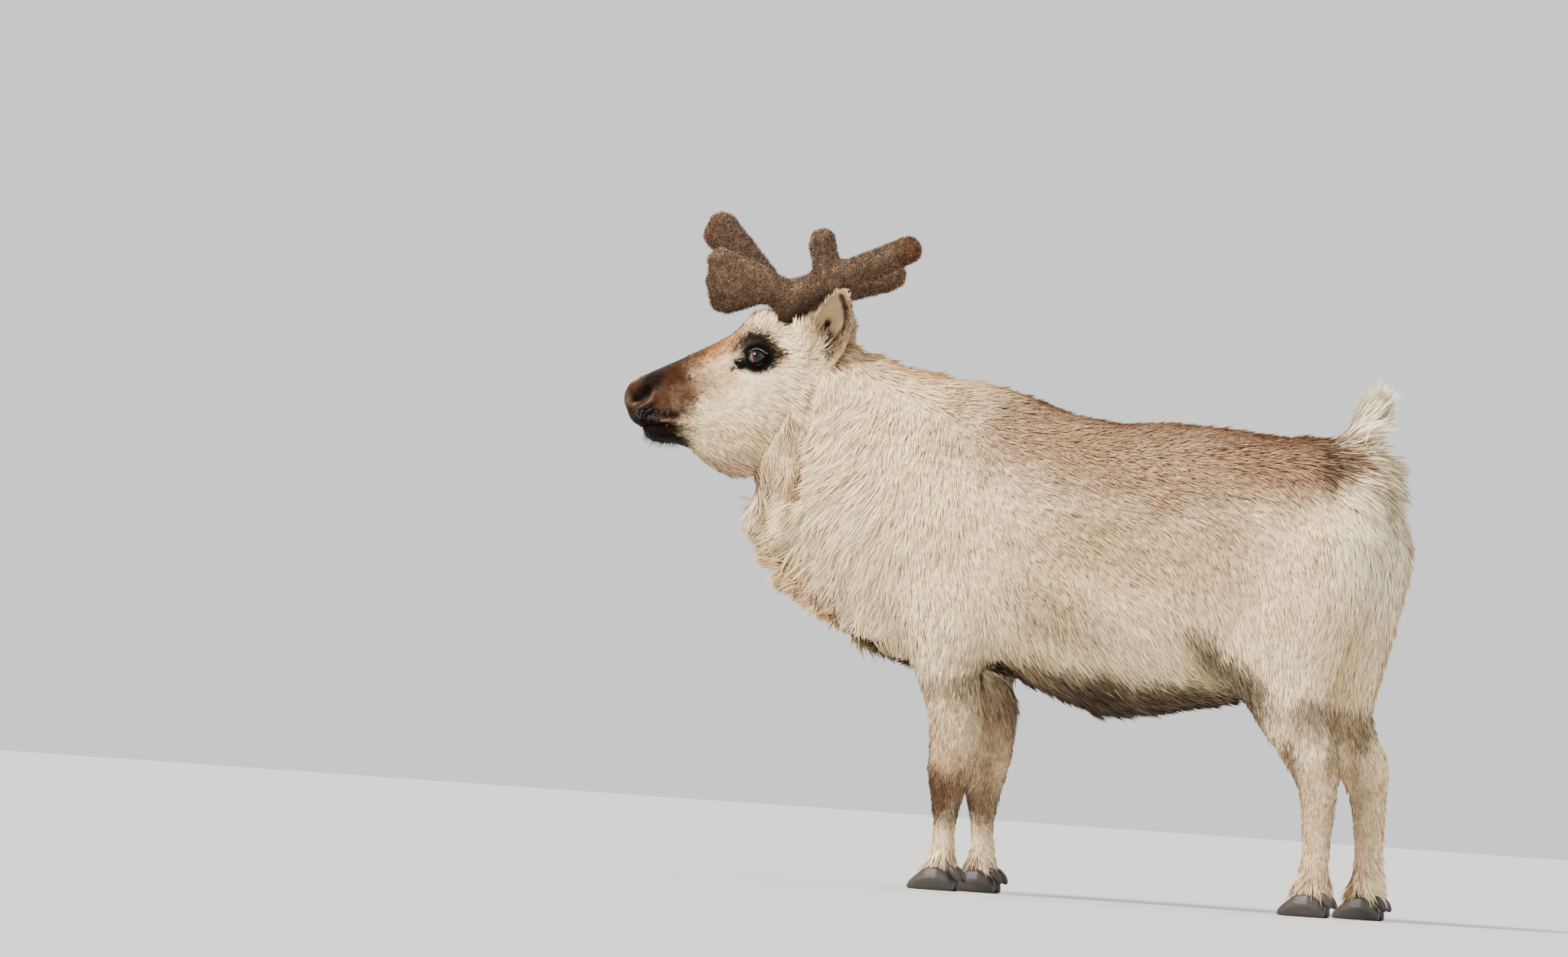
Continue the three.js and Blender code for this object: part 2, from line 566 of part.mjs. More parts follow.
function makeHead() {
  const carried = (sections) => solid(ringGeometry(new Loft(sections).rings(HEAD_FACETS, 1)), headFrame);
  const brows = [1, -1].map((side) =>
    headEllipsoid([BROW.forward, side * BROW.side, BROW.height], [BROW.length, BROW.depth, BROW.depth],
      BROW.slope, side * BROW.swing, 11));
  const noseRadii = [NOSE.length, NOSE.width, NOSE.tall];
  const nose = headEllipsoid([NOSE.forward, 0, NOSE.height], noseRadii, NOSE.slope, 0, 12);
  return union([carried(HEAD), carried(JAW), ...brows, nose]);
}

// Cuts and raises the features of the face.
function withFace(head) {
  const nostrils = [1, -1].map((side) =>
    headEllipsoid([NOSTRIL.forward, side * NOSTRIL.side, NOSTRIL.height],
      [NOSTRIL.length, NOSTRIL.depth, NOSTRIL.tall], NOSTRIL.slope, -side * NOSTRIL.swing, 10));
  const covers = [1, -1].map(lids);
  const sockets = makeEyes().map((eye) => grown(eye));
  const covered = union([head, ...covers.map((cover) => cover.shell)]);
  const openings = covers.map((cover) => cover.opening);
  return largest(without(covered, [...openings, ...sockets, ...nostrils, mouthGroove()]));
}

// An ear is a leaf rolled into a cup that opens outwards and a little forward.
function makeEar(side) {
  const stations = 8;
  const arc = 9;
  const root = vec(EAR.forward, EAR.side, EAR.height);
  const tip = vec(EAR.forward - EAR.back, EAR.side + EAR.out, EAR.height + EAR.up);
  const axis = tip.clone().sub(root).normalize();
  const open = vec(EAR_FACING.forward, EAR_FACING.out, 0).projectOnPlane(axis).normalize();
  const across = axis.clone().cross(open);
  const rings = Array.from({ length: stations }, (_, i) => {
    const t = i / (stations - 1);
    const radius = EAR.radius * smooth(EAR_SHAPE.places, EAR_SHAPE.shares, t);
    const gape = rad(lerp(EAR_GAPE.root, EAR_GAPE.widest, Math.min(1, t * 1.6)));
    const centre = root.clone().lerp(tip, t).addScaledVector(open, -EAR.bow * Math.sin(t * Math.PI));
    const wall = lerp(EAR_WALL.root, EAR_WALL.tip, t);
    const arcPoint = (k, r) => {
      const turn = gape / 2 + ((Math.PI * 2 - gape) * k) / arc;
      const out = r * EAR.depth * Math.cos(turn);
      return centre.clone().addScaledVector(open, out).addScaledVector(across, r * Math.sin(turn));
    };
    const outer = Array.from({ length: arc + 1 }, (_, k) => arcPoint(k, radius + wall / 2));
    const inner = Array.from({ length: arc + 1 }, (_, k) => arcPoint(arc - k, radius - wall / 2));
    return [...outer, ...inner].map((p) => headPoint(p.x, p.y * side, p.z));
  });
  const count = rings[0].length;
  const index = [];
  for (let i = 0; i < stations - 1; i++)
    for (let k = 0; k < count; k++) {
      const a = i * count + k;
      const b = i * count + ((k + 1) % count);
      index.push(a, b, b + count, a, b + count, a + count);
    }
  for (const [base, flip] of [[0, false], [(stations - 1) * count, true]])
    for (let k = 0; k < arc; k++) {
      const quad = [base + k, base + k + 1, base + count - 2 - k, base + count - 1 - k];
      const [a, b, c, d] = flip ? quad : quad.toReversed();
      index.push(a, b, c, a, c, d);
    }
  return solid(new THREE.BufferGeometry().setFromPoints(rings.flat()).setIndex(index));
}

// A tube along a line of [forward, side, height, radius, sideways radius], with a rounded end.
function antlerTube(line, side) {
  const at = line.map(([forward, out, height]) => vec(forward, out * side, height));
  const curve = new THREE.CatmullRomCurve3(at, false, "centripetal");
  const spans = line.length - 1;
  const steps = spans * 2;
  const rings = [];
  const sideways = vec(0, 1, 0);
  const addRing = (centre, tangent, tall, wide) => {
    const up = sideways.clone().cross(tangent).normalize();
    const across = tangent.clone().cross(up);
    rings.push(Array.from({ length: ANTLER_FACETS }, (_, k) => {
      const turn = (k / ANTLER_FACETS) * Math.PI * 2;
      const rise = up.clone().multiplyScalar(tall * Math.cos(turn));
      return centre.clone().add(rise).addScaledVector(across, wide * Math.sin(turn));
    }));
  };
  const knots = line.map((_, i) => i);
  const radiusAt = (t, column) => smooth(knots, line.map((p) => p[column]), t * spans);
  for (let i = 0; i <= steps; i++) {
    const t = i / steps;
    addRing(curve.getPoint(t), curve.getTangent(t), radiusAt(t, 3), radiusAt(t, 4));
  }
  const end = curve.getPoint(1);
  const ahead = curve.getTangent(1);
  const [tall, wide] = [radiusAt(1, 3), radiusAt(1, 4)];
  for (const turn of [30, 58, 80].map(rad))
    addRing(end.clone().addScaledVector(ahead, wide * Math.sin(turn)), ahead,
      tall - wide + wide * Math.cos(turn), wide * Math.cos(turn));
  return solid(ringGeometry(rings), headFrame);
}

function legSections(sections, stride, side) {
  return sections.map((s) => {
    const shift = side > 0 ? smooth(stride.map((p) => p[0]), stride.map((p) => p[1]), s.a[1]) : 0;
    return { ...s, a: [s.a[0] + shift, s.a[1]], b: [s.b[0] + shift, s.b[1]], y: s.y * side };
  });
}

// The two claws and two dewclaws of a foot whose pastern is above x, y.
function makeClaws(x, y) {
  const claws = {};
  const floor = solid(new THREE.BoxGeometry(400, 400, 40).translate(x, y, -20));
  for (const [name, side] of [["outer", Math.sign(y)], ["inner", -Math.sign(y)]]) {
    const loft = new Loft(mirrored(CLAW, side));
    const facing = new THREE.Matrix4().makeScale(-1, 1, 1).setPosition(x, y, 0);
    claws[`${name}_claw`] = solid(ringGeometry(loft.rings(CLAW_FACETS, 1)), facing).subtract(floor);
    const place = new THREE.Matrix4()
      .makeTranslation(x + DEWCLAW.back, y + side * DEWCLAW.side, DEWCLAW.height)
      .multiply(new THREE.Matrix4().makeRotationY(rad(DEWCLAW.slope)))
      .multiply(new THREE.Matrix4().makeScale(DEWCLAW.length, DEWCLAW.radius, DEWCLAW.radius));
    claws[`${name}_dewclaw`] = solid(new THREE.SphereGeometry(1, 7, 5), place);
  }
  return claws;
}

const nodes = new Map();
const add = (name, made, look) => nodes.set(name, { made: largest(made), look });

// The trunk and head are modelled whole and parted by two thin cuts.
const trunkLoft = new Loft(TRUNK);
const trunk = solid(ringGeometry(trunkLoft.rings(TRUNK_FACETS, 1)));
const neckCut = sheet(vec(NECK_CUT.x, 0, NECK_CUT.z), vec(-1, 0, NECK_CUT.lean), 700);
const jawEnd = headPoint(HEAD_CUT.forward, 0, HEAD_CUT.height);
const jawAhead = headPoint(HEAD_CUT.forward + HEAD_CUT.run, 0, HEAD_CUT.height + HEAD_CUT.rise);
const headCut = sheet(jawEnd, jawAhead.sub(jawEnd), 400);
const whole = without(union([trunk, makeHead()]), [neckCut, headCut]);
const [torso, neck, bareHead] = whole.decompose()
  .sort((p, q) => q.volume() - p.volume())
  .slice(0, 3)
  .sort((p, q) => q.boundingBox().max[0] - p.boundingBox().max[0]);
const head = withFace(bareHead);
const throat = trunkLoft.knots.length - 2;
const ruff = ruffLocks(trunkLoft, trunkLoft.knots[throat], trunkLoft.knots[throat - 5]);
const mane = maneLocks(trunkLoft, trunkLoft.knots[throat], trunkLoft.knots[throat - 3]);
const maned = largest(without(union([neck, ...ruff, ...mane]), [grown(torso), grown(bareHead)]));
add("torso", torso, "coat");
add("neck", maned, "coat");
add("head", head, "coat");

const [leftEye, rightEye] = makeEyes();
add("left_eye", leftEye, "eye");
add("right_eye", rightEye, "eye");

const body = { torso: grown(torso), neck: grown(maned), head: grown(bareHead) };
for (const [name, side] of [["left", 1], ["right", -1]])
  add(`${name}_ear`, without(makeEar(side), [body.head, body.neck]), "coat");

for (const [name, side, beamLine, browLine, tineLine] of [
  ["left", 1, LEFT_BEAM, LEFT_BROW, LEFT_TINE],
  ["right", -1, RIGHT_BEAM, RIGHT_BROW, RIGHT_TINE],
]) {
  const ear = grown(nodes.get(`${name}_ear`).made);
  const beam = largest(without(antlerTube(beamLine, side), [body.head, ear]));
  const beamClear = grown(beam);
  add(`${name}_antler_beam`, beam, "velvet");
  add(`${name}_antler_brow`, antlerTube(browLine, side).subtract(beamClear), "velvet");
  add(`${name}_antler_tine`, antlerTube(tineLine, side).subtract(beamClear), "velvet");
}

for (const [pair, sections, stride, joint, upper] of [
  ["front", FRONT_LEG, FRONT_STRIDE, KNEE, "forearm"],
  ["hind", HIND_LEG, HIND_STRIDE, HOCK, "thigh"],
])
  for (const [name, side] of [["left", -1], ["right", 1]]) {
    const placed = legSections(sections, stride, side);
    const loft = new Loft(placed);
    const leg = largest(without(solid(ringGeometry(loft.rings(LEG_FACETS, 1))), [body.torso, body.neck]));
    const foot = placed.at(-1);
    const cut = sheet(vec(joint.x, foot.y, joint.z), vec(0, 0, 1), 300);
    const [lower, top] = leg.subtract(cut).decompose()
      .sort((p, q) => p.boundingBox().min[2] - q.boundingBox().min[2]);
    add(`${pair}_${name}_${upper}`, top, "coat");
    add(`${pair}_${name}_cannon`, lower, "coat");
    const clear = [grown(lower)];
    const pastern = (foot.a[0] + foot.b[0]) / 2 + CLAW_SET_BACK;
    for (const [claw, made] of Object.entries(makeClaws(pastern, foot.y))) {
      const cutClaw = largest(without(made, clear));
      add(`${pair}_${name}_${claw}`, cutClaw, "hoof");
      clear.push(grown(cutClaw));
    }
  }

const dockLoft = new Loft(TAIL);
const dock = solid(ringGeometry(dockLoft.rings(DOCK_FACETS, 1)));
const thighs = ["left", "right"].map((side) => grown(nodes.get(`hind_${side}_thigh`).made));
add("tail", without(union([dock, ...tailLocks(dockLoft)]), [body.torso, ...thighs]), "coat");

const reindeer = new THREE.Group();
for (const [name, { made, look }] of nodes) {
  const mesh = new THREE.Mesh(geometryOf(made), new THREE.MeshStandardMaterial(COLOURS[look]));
  mesh.name = name;
  reindeer.add(mesh);
}
// The origin is on the floor, under the middle of the whole animal.
const box = new THREE.Box3().setFromObject(reindeer);
const middle = box.getCenter(vec(0, 0, 0));
reindeer.position.set(-middle.x, -middle.y, 0);

export default reindeer;
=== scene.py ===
"""A standing Svalbard reindeer in its winter coat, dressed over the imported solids."""

from __future__ import annotations

import json
import logging
import math
from dataclasses import dataclass, field
from enum import Enum
from typing import Callable, Iterable, Iterator, Sequence

import bmesh
import bpy
import numpy as np
import openvdb as vdb
from bpy.types import Material, Mesh, NodeSocket, NodeTree, Object
from mathutils import Matrix, Vector

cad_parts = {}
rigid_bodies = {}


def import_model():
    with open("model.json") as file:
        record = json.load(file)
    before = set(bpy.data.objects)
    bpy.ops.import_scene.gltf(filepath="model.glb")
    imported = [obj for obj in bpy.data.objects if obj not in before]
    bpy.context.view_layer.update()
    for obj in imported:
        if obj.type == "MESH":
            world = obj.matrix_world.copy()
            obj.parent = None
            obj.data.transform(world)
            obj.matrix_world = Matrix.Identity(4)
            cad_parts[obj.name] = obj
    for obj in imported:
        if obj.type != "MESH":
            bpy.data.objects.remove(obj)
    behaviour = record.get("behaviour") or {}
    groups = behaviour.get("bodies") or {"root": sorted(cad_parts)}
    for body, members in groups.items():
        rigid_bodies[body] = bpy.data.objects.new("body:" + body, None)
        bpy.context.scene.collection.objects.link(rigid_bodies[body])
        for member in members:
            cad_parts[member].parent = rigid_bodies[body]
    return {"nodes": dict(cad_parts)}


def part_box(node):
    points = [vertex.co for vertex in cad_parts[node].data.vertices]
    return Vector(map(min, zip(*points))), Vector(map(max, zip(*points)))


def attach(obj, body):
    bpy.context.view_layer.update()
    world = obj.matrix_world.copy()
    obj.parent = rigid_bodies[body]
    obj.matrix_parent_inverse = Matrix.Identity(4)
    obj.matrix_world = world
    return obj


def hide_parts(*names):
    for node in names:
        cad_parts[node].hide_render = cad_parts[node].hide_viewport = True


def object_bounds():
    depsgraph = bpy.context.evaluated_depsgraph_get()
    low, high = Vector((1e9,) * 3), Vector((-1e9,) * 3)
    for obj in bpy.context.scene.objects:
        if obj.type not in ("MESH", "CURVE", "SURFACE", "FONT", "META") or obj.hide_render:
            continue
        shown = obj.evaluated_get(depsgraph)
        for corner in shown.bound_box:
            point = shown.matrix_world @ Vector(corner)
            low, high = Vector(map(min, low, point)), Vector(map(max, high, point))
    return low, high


for leftover in list(bpy.data.objects):
    bpy.data.objects.remove(leftover)
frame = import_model()
cad_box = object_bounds()

LOG = logging.getLogger("reindeer")
MM = 0.001
UNWRAP = "OFBake"
MARKING = "marking"
BODY = "root"
SPAN = 0.003

Array = np.ndarray
Pair = tuple[float, float]
Triple = tuple[float, float, float]


def unit(vectors: Array) -> Array:
    """Vectors of length one, along the last axis."""
    return vectors / np.maximum(np.linalg.norm(vectors, axis=-1, keepdims=True), 1e-12)


def smoothstep(low: float, high: float, values: Array) -> Array:
    """A smooth rise from 0 at low to 1 at high."""
    t = np.clip((values - low) / (high - low), 0.0, 1.0)
    return t * t * (3.0 - 2.0 * t)


def mix(a: Array, b: Array, share: Array) -> Array:
    """The blend of a and b, all b where share is 1."""
    return a + (b - a) * share


def linear(colour: Sequence[float]) -> Array:
    """A display colour of 0 to 255 a channel as linear light."""
    c = np.asarray(colour, float) / 255.0
    return np.where(c <= 0.04045, c / 12.92, ((c + 0.055) / 1.055) ** 2.4)


def pigment(colour: Sequence[float]) -> Array:
    """The linear colour of hair that looks like a display colour in bright soft light."""
    return linear(colour) ** 1.35


def corner_weights(share: Array) -> Iterator[tuple[tuple[int, ...], Array]]:
    """Each corner of a lattice's cell with its weight, for places in the cell."""
    for corner in np.ndindex(2, 2, 2):
        weight = np.ones(len(share))
        for axis in range(3):
            weight = weight * (share[:, axis] if corner[axis] else 1.0 - share[:, axis])
        yield corner, weight


def noise(points: Array, size: float, seed: int) -> Array:
    """Smooth random values from 0 to 1 that vary over a given size.

    Args:
        points: Places, one a row.
        size: The distance over which the value changes.
        seed: Chooses the pattern.

    Returns:
        One value for each place.
    """
    p = points / size + seed * 17.31
    cell = np.floor(p).astype(np.int64)
    f = p - cell
    f = f * f * (3.0 - 2.0 * f)
    total = np.zeros(len(points))
    for corner, weight in corner_weights(f):
        at = (cell + corner).astype(np.uint64)
        h = at[:, 0] * np.uint64(73856093) ^ at[:, 1] * np.uint64(19349663)
        h ^= at[:, 2] * np.uint64(83492791) ^ np.uint64(seed * 2654435761 % 2**32)
        h ^= h >> np.uint64(13)
        h = (h * np.uint64(1274126177)) & np.uint64(0xFFFFFFFF)
        h ^= h >> np.uint64(16)
        total += weight * ((h & np.uint64(0xFFFF)).astype(float) / 65535.0)
    return total


def wander(points: Array, size: float, seed: int) -> Array:
    """Smooth random shifts from -0.5 to 0.5 along each axis, that vary over a given size."""
    return np.stack([noise(points, size, seed + axis) for axis in range(3)], axis=1) - 0.5


def from_line(points: Array, start: Array, end: Array) -> tuple[Array, Array]:
    """How far points are from a straight line, and how far along it they are, from 0 to 1."""
    run = end - start
    t = np.clip(((points - start) @ run) / max(run @ run, 1e-9), 0, 1)
    return np.linalg.norm(points - start - t[:, None] * run, axis=1), t


def chain_distance(points: Array, line: Sequence[Array], radii: Sequence[float]) -> Array:
    """Distances to a bent line of rounded bars, with a radius at each of its places."""
    best = np.full(len(points), np.inf)
    for k, (start, end) in enumerate(zip(line, line[1:])):
        away, t = from_line(points, start, end)
        best = np.minimum(best, away - mix(radii[k], radii[k + 1], t))
    return best


def line_distance(local: Array, line: Sequence[Sequence[float]]) -> Array:
    """Distances in side view from places of the head's frame to a bent line."""
    return chain_distance(local[:, [0, 2]], np.array(line, float), np.zeros(len(line)))


def ellipsoid(local: Array, place: Sequence[float], size: Sequence[float], slope: float) -> Array:
    """How far places are from the middle of an ellipsoid, squared, where 1 is its surface.

    Args:
        local: The places.
        place: The middle of the ellipsoid on the left side, which the right one mirrors.
        size: Its half-sizes.
        slope: How far it is tilted in side view, in degrees.

    Returns:
        One value for each place.
    """
    x = local[:, 0] - place[0]
    y = np.abs(local[:, 1]) - place[1]
    z = local[:, 2] - place[2]
    turn = math.radians(slope)
    along = x * math.cos(turn) + z * math.sin(turn)
    up = z * math.cos(turn) - x * math.sin(turn)
    return (along / size[0]) ** 2 + (y / size[1]) ** 2 + (up / size[2]) ** 2


@dataclass(frozen=True)
class Stance:
    """Carries places of the drawing, in millimetres, to the model's frame in metres.

    The drawing's height is zero on the floor, x grows towards the tail, and the head has a
    frame of its own: forward from the poll, out to the animal's left, and height. Shift is how
    far the model stands from the drawing along x.
    """

    shift: float
    poll: Pair = (-608.0, -20.0)
    roll_height: float = 830.0
    yaw: float = 13.0
    roll: float = 6.0

    @classmethod
    def over(cls, node: str, drawn_x: float) -> Stance:
        """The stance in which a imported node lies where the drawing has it."""
        low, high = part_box(node)
        return cls((low.x + high.x) / 2 / MM - drawn_x)

    def body(self, points: Sequence) -> Array:
        """Places of the drawing in the model's frame."""
        return (np.atleast_2d(np.asarray(points, float)) + [self.shift, 0, 0]) * MM

    def turn(self) -> Array:
        """The rotation of the head's frame, as a 3 by 3 matrix."""
        yaw = Matrix.Rotation(math.radians(180 + self.yaw), 3, "Z")
        return np.array(yaw @ Matrix.Rotation(math.radians(self.roll), 3, "X"))

    def head(self, points: Sequence) -> Array:
        """Places of the head's frame in the model's frame."""
        local = np.atleast_2d(np.asarray(points, float)) - [0, 0, self.roll_height]
        origin = np.array([self.poll[0], self.poll[1], self.roll_height])
        return self.body(local @ self.turn().T + origin)

    def in_head(self, points: Array) -> Array:
        """Places of the model's frame in the head's frame, in millimetres."""
        origin = np.array([self.poll[0] + self.shift, self.poll[1], self.roll_height])
        return (points / MM - origin) @ self.turn() + [0, 0, self.roll_height]

    def in_body(self, points: Array) -> Array:
        """Places of the model's frame in the drawing, in millimetres."""
        return points / MM - [self.shift, 0, 0]


STANCE = Stance.over("left_eye", -724.4)


@dataclass
class DistanceField:
    """Distances to a surface on a lattice, in metres and negative inside."""

    corner: tuple[int, ...]
    voxel: float
    values: Array

    @classmethod
    def spanning(cls, low: Sequence[float], high: Sequence[float], voxel: float) -> DistanceField:
        """An empty field over a box.

        Args:
            low: The box's lowest corner.
            high: Its highest corner.
            voxel: The lattice's spacing.

        Returns:
            The field, far outside everywhere.
        """
        first = np.floor(np.asarray(low) / voxel).astype(int)
        last = np.ceil(np.asarray(high) / voxel).astype(int)
        return cls(tuple(first.tolist()), voxel, np.ones(tuple(last - first + 1), np.float32))

    def like(self, values: Array) -> DistanceField:
        """A field on the same lattice."""
        return DistanceField(self.corner, self.voxel, values.astype(np.float32))

    def to_mesh(
        self, points: Array, triangles: Array, quads: Array | None, reach: float
    ) -> DistanceField:
        """Distances to a closed mesh on this lattice.

        Args:
            points: The mesh's points.
            triangles: Its triangles.
            quads: Its quads, if any.
            reach: How far from the surface the distances are kept.

        Returns:
            The new field.
        """
        grid = vdb.FloatGrid.createLevelSetFromPolygons(
            points.astype(np.float32),
            triangles=triangles.astype(np.uint32),
            quads=None if quads is None else quads.astype(np.uint32),
            transform=vdb.createLinearTransform(voxelSize=self.voxel),
            halfWidth=reach / self.voxel,
        )
        values = np.empty_like(self.values)
        grid.copyToArray(values, ijk=self.corner)
        return self.like(values)

    def to_nodes(self, names: Iterable[str], reach: float) -> DistanceField:
        """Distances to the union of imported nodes."""
        best = np.full_like(self.values, reach)
        for name in names:
            points, triangles = mesh_arrays(frame["nodes"][name].data)
            best = np.minimum(best, self.to_mesh(points, triangles, None, reach).values)
        return self.like(best)

    def surface(self, level: float = 0.0) -> tuple[Array, Array, Array]:
        """The mesh at a distance: its points, triangles and quads, facing outwards."""
        grid = vdb.FloatGrid(1.0)
        grid.transform = vdb.createLinearTransform(voxelSize=self.voxel)
        grid.copyFromArray(self.values, ijk=self.corner)
        points, triangles, quads = grid.convertToPolygons(isovalue=level, adaptivity=0.0)
        fan = np.concatenate([triangles, quads[:, :3], quads[:, [0, 2, 3]]]).astype(np.int64)
        a, b, c = (points[fan[:, k]].astype(float) for k in range(3))
        if np.einsum("ij,ij->", a, np.cross(b, c)) < 0:
            triangles, quads = triangles[:, ::-1], quads[:, ::-1]
        return points, triangles, quads

    def redistanced(self, level: float, reach: float) -> DistanceField:
        """True distances to the surface that now lies at a level."""
        return self.to_mesh(*self.surface(level), reach)

    def rounded(self, radius: float, reach: float) -> DistanceField:
        """The form with edges rounded to a radius, or creases where it is negative."""
        return self.redistanced(-radius, reach).redistanced(radius, reach)

    def joined(self, other: DistanceField) -> DistanceField:
        """The union with another field."""
        return self.like(np.minimum(self.values, other.values))

    def blurred(self, radius: float) -> DistanceField:
        """The field with its creases softened over a radius."""
        sigma = radius / self.voxel
        half = max(1, int(math.ceil(2.5 * sigma)))
        weights = np.exp(-0.5 * (np.arange(-half, half + 1) / sigma) ** 2)
        weights /= weights.sum()
        values = self.values
        for axis in range(3):
            pad = [(half, half) if a == axis else (0, 0) for a in range(3)]
            wide = np.pad(values, pad, mode="edge")
            total = np.zeros_like(values)
            for k, weight in enumerate(weights):
                window = [slice(None)] * 3
                window[axis] = slice(k, k + values.shape[axis])
                total += np.float32(weight) * wide[tuple(window)]
            values = total
        return self.like(values)

    def places(self, mask: Array) -> Array:
        """The places of the lattice points that a mask picks."""
        return (np.argwhere(mask) + self.corner) * self.voxel

    def at(self, points: Array) -> Array:
        """The distance at any places."""
        local = points / self.voxel - self.corner
        top = np.array(self.values.shape) - 2
        base = np.clip(np.floor(local).astype(int), 0, top)
        f = np.clip(local - base, 0.0, 1.0)
        total = np.zeros(len(points))
        for corner, weight in corner_weights(f):
            i, j, k = (base + corner).T
            total += weight * self.values[i, j, k]
        return total

    def outward(self, points: Array) -> Array:
        """The direction away from the surface at any places."""
        steps = np.eye(3) * self.voxel
        return unit(np.stack([self.at(points + s) - self.at(points - s) for s in steps], axis=1))


def mesh_arrays(mesh: Mesh) -> tuple[Array, Array]:
    """A mesh's points and triangles as arrays."""
    points = np.empty(len(mesh.vertices) * 3, np.float32)
    mesh.vertices.foreach_get("co", points)
    mesh.calc_loop_triangles()
    triangles = np.empty(len(mesh.loop_triangles) * 3, np.int32)
    mesh.loop_triangles.foreach_get("vertices", triangles)
    return points.reshape(-1, 3), triangles.reshape(-1, 3)


def lattice(rows: int, columns: int, closed: bool = False) -> Array:
    """Quads between neighbouring rows of points.

    Args:
        rows: How many rows there are.
        columns: How many points each has. A row is closed on itself.
        closed: Whether the last row joins the first.

    Returns:
        Four places in the list of points for each quad.
    """
    i, k = np.meshgrid(np.arange(rows if closed else rows - 1), np.arange(columns), indexing="ij")
    this, below = i * columns, (i + 1) % rows * columns
    beside = (k + 1) % columns
    return np.stack([this + k, this + beside, below + beside, below + k], -1).reshape(-1, 4)


def add_object(name: str, mesh: Mesh, material: Material | None = None) -> Object:
    """Links a mesh as an object at the origin."""
    obj = bpy.data.objects.new(name, mesh)
    bpy.context.scene.collection.objects.link(obj)
    if material:
        mesh.materials.append(material)
    return obj


def declare(obj: Object, nodes: Sequence[str] = ()) -> None:
    """Attaches a finished piece to the body, hides the imported nodes that it stands for and logs its
    triangles.
    """
    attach(obj, BODY)
    if nodes:
        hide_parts(*nodes)
    LOG.info("%s: %d triangles", obj.name, sum(len(face.vertices) - 2 for face in obj.data.polygons))


def faceted(points: Array, faces: Sequence[Sequence[int]], name: str) -> Mesh:
    """A smooth-shaded mesh from points and faces of any size."""
    mesh = bpy.data.meshes.new(name)
    mesh.from_pydata(np.asarray(points).tolist(), [], [list(map(int, f)) for f in faces])
    mesh.update()
    mesh.polygons.foreach_set("use_smooth", [True] * len(mesh.polygons))
    return mesh


# Shader trees


class Signal:
    """One value or colour in a shader tree, on which sums can be written."""

    def __init__(self, tree: ShaderTree, socket: NodeSocket) -> None:
        """Wraps an output socket."""
        self.tree = tree
        self.socket = socket

    def _math(self, operation: str, *values: object) -> Signal:
        """A Math node on these values."""
        return self.tree.node("ShaderNodeMath", {"operation": operation}, dict(enumerate(values)))

    def __add__(self, other: object) -> Signal:
        """The sum."""
        return self._math("ADD", self, other)

    def __mul__(self, other: object) -> Signal:
        """The product."""
        return self._math("MULTIPLY", self, other)

    __radd__ = __add__
    __rmul__ = __mul__


class ShaderTree:
    """A material's node tree, built by naming each node's kind, settings and inputs."""

    def __init__(self, name: str) -> None:
        """Makes an empty material with a principled surface."""
        self.material = bpy.data.materials.new(name)
        self.material.use_nodes = True
        self.nodes = self.material.node_tree.nodes
        self.links = self.material.node_tree.links
        self.surface = self.nodes["Principled BSDF"]

    def node(
        self, kind: str, settings: dict | None = None, inputs: dict | None = None, output: object = 0
    ) -> Signal:
        """Adds a node.

        Args:
            kind: The node's type.
            settings: Its settings, such as an operation.
            inputs: Values or signals for its sockets, by name or place.
            output: Which of its outputs to use.

        Returns:
            The chosen output.
        """
        made = self.nodes.new(kind)
        for key, value in (settings or {}).items():
            setattr(made, key, value)
        for key, value in (inputs or {}).items():
            self.feed(made.inputs[key], value)
        return Signal(self, made.outputs[output])

    def feed(self, socket: NodeSocket, value: object) -> None:
        """Links a signal to a socket, or sets its value."""
        if isinstance(value, Signal):
            self.links.new(value.socket, socket)
        else:
            socket.default_value = value

    def set(self, **inputs: object) -> None:
        """Feeds the surface's sockets, whose names have underscores for spaces."""
        for key, value in inputs.items():
            self.feed(self.surface.inputs[key.replace("_", " ")], value)

    def marking(self) -> Signal:
        """The colour that a piece's points carry."""
        return self.node("ShaderNodeAttribute", {"attribute_name": MARKING}, output="Color")

    def grain(self, scale: float, detail: float = 2.0, stretch: Sequence[float] = (1, 1, 1)) -> Signal:
        """Noise from 0 to 1 over the object's own coordinates."""
        place = self.node("ShaderNodeTexCoord", output="Object")
        spread = self.node("ShaderNodeMapping", None, {"Vector": place, "Scale": stretch})
        inputs = {"Vector": spread, "Scale": scale, "Detail": detail}
        return self.node("ShaderNodeTexNoise", None, inputs, "Fac")

    def shade(self, colour: Signal, amount: Signal, low: float, high: float) -> Signal:
        """A colour made darker or lighter between two factors."""
        factor = amount * (high - low) + low
        spread = self.node("ShaderNodeCombineXYZ", None, {0: factor, 1: factor, 2: factor})
        return self.node("ShaderNodeVectorMath", {"operation": "MULTIPLY"}, {0: colour, 1: spread})

    def bump(self, height: Signal, distance: float, strength: float) -> Signal:
        """A normal that follows a height."""
        inputs = {"Height": height, "Distance": distance, "Strength": strength}
        return self.node("ShaderNodeBump", None, inputs)


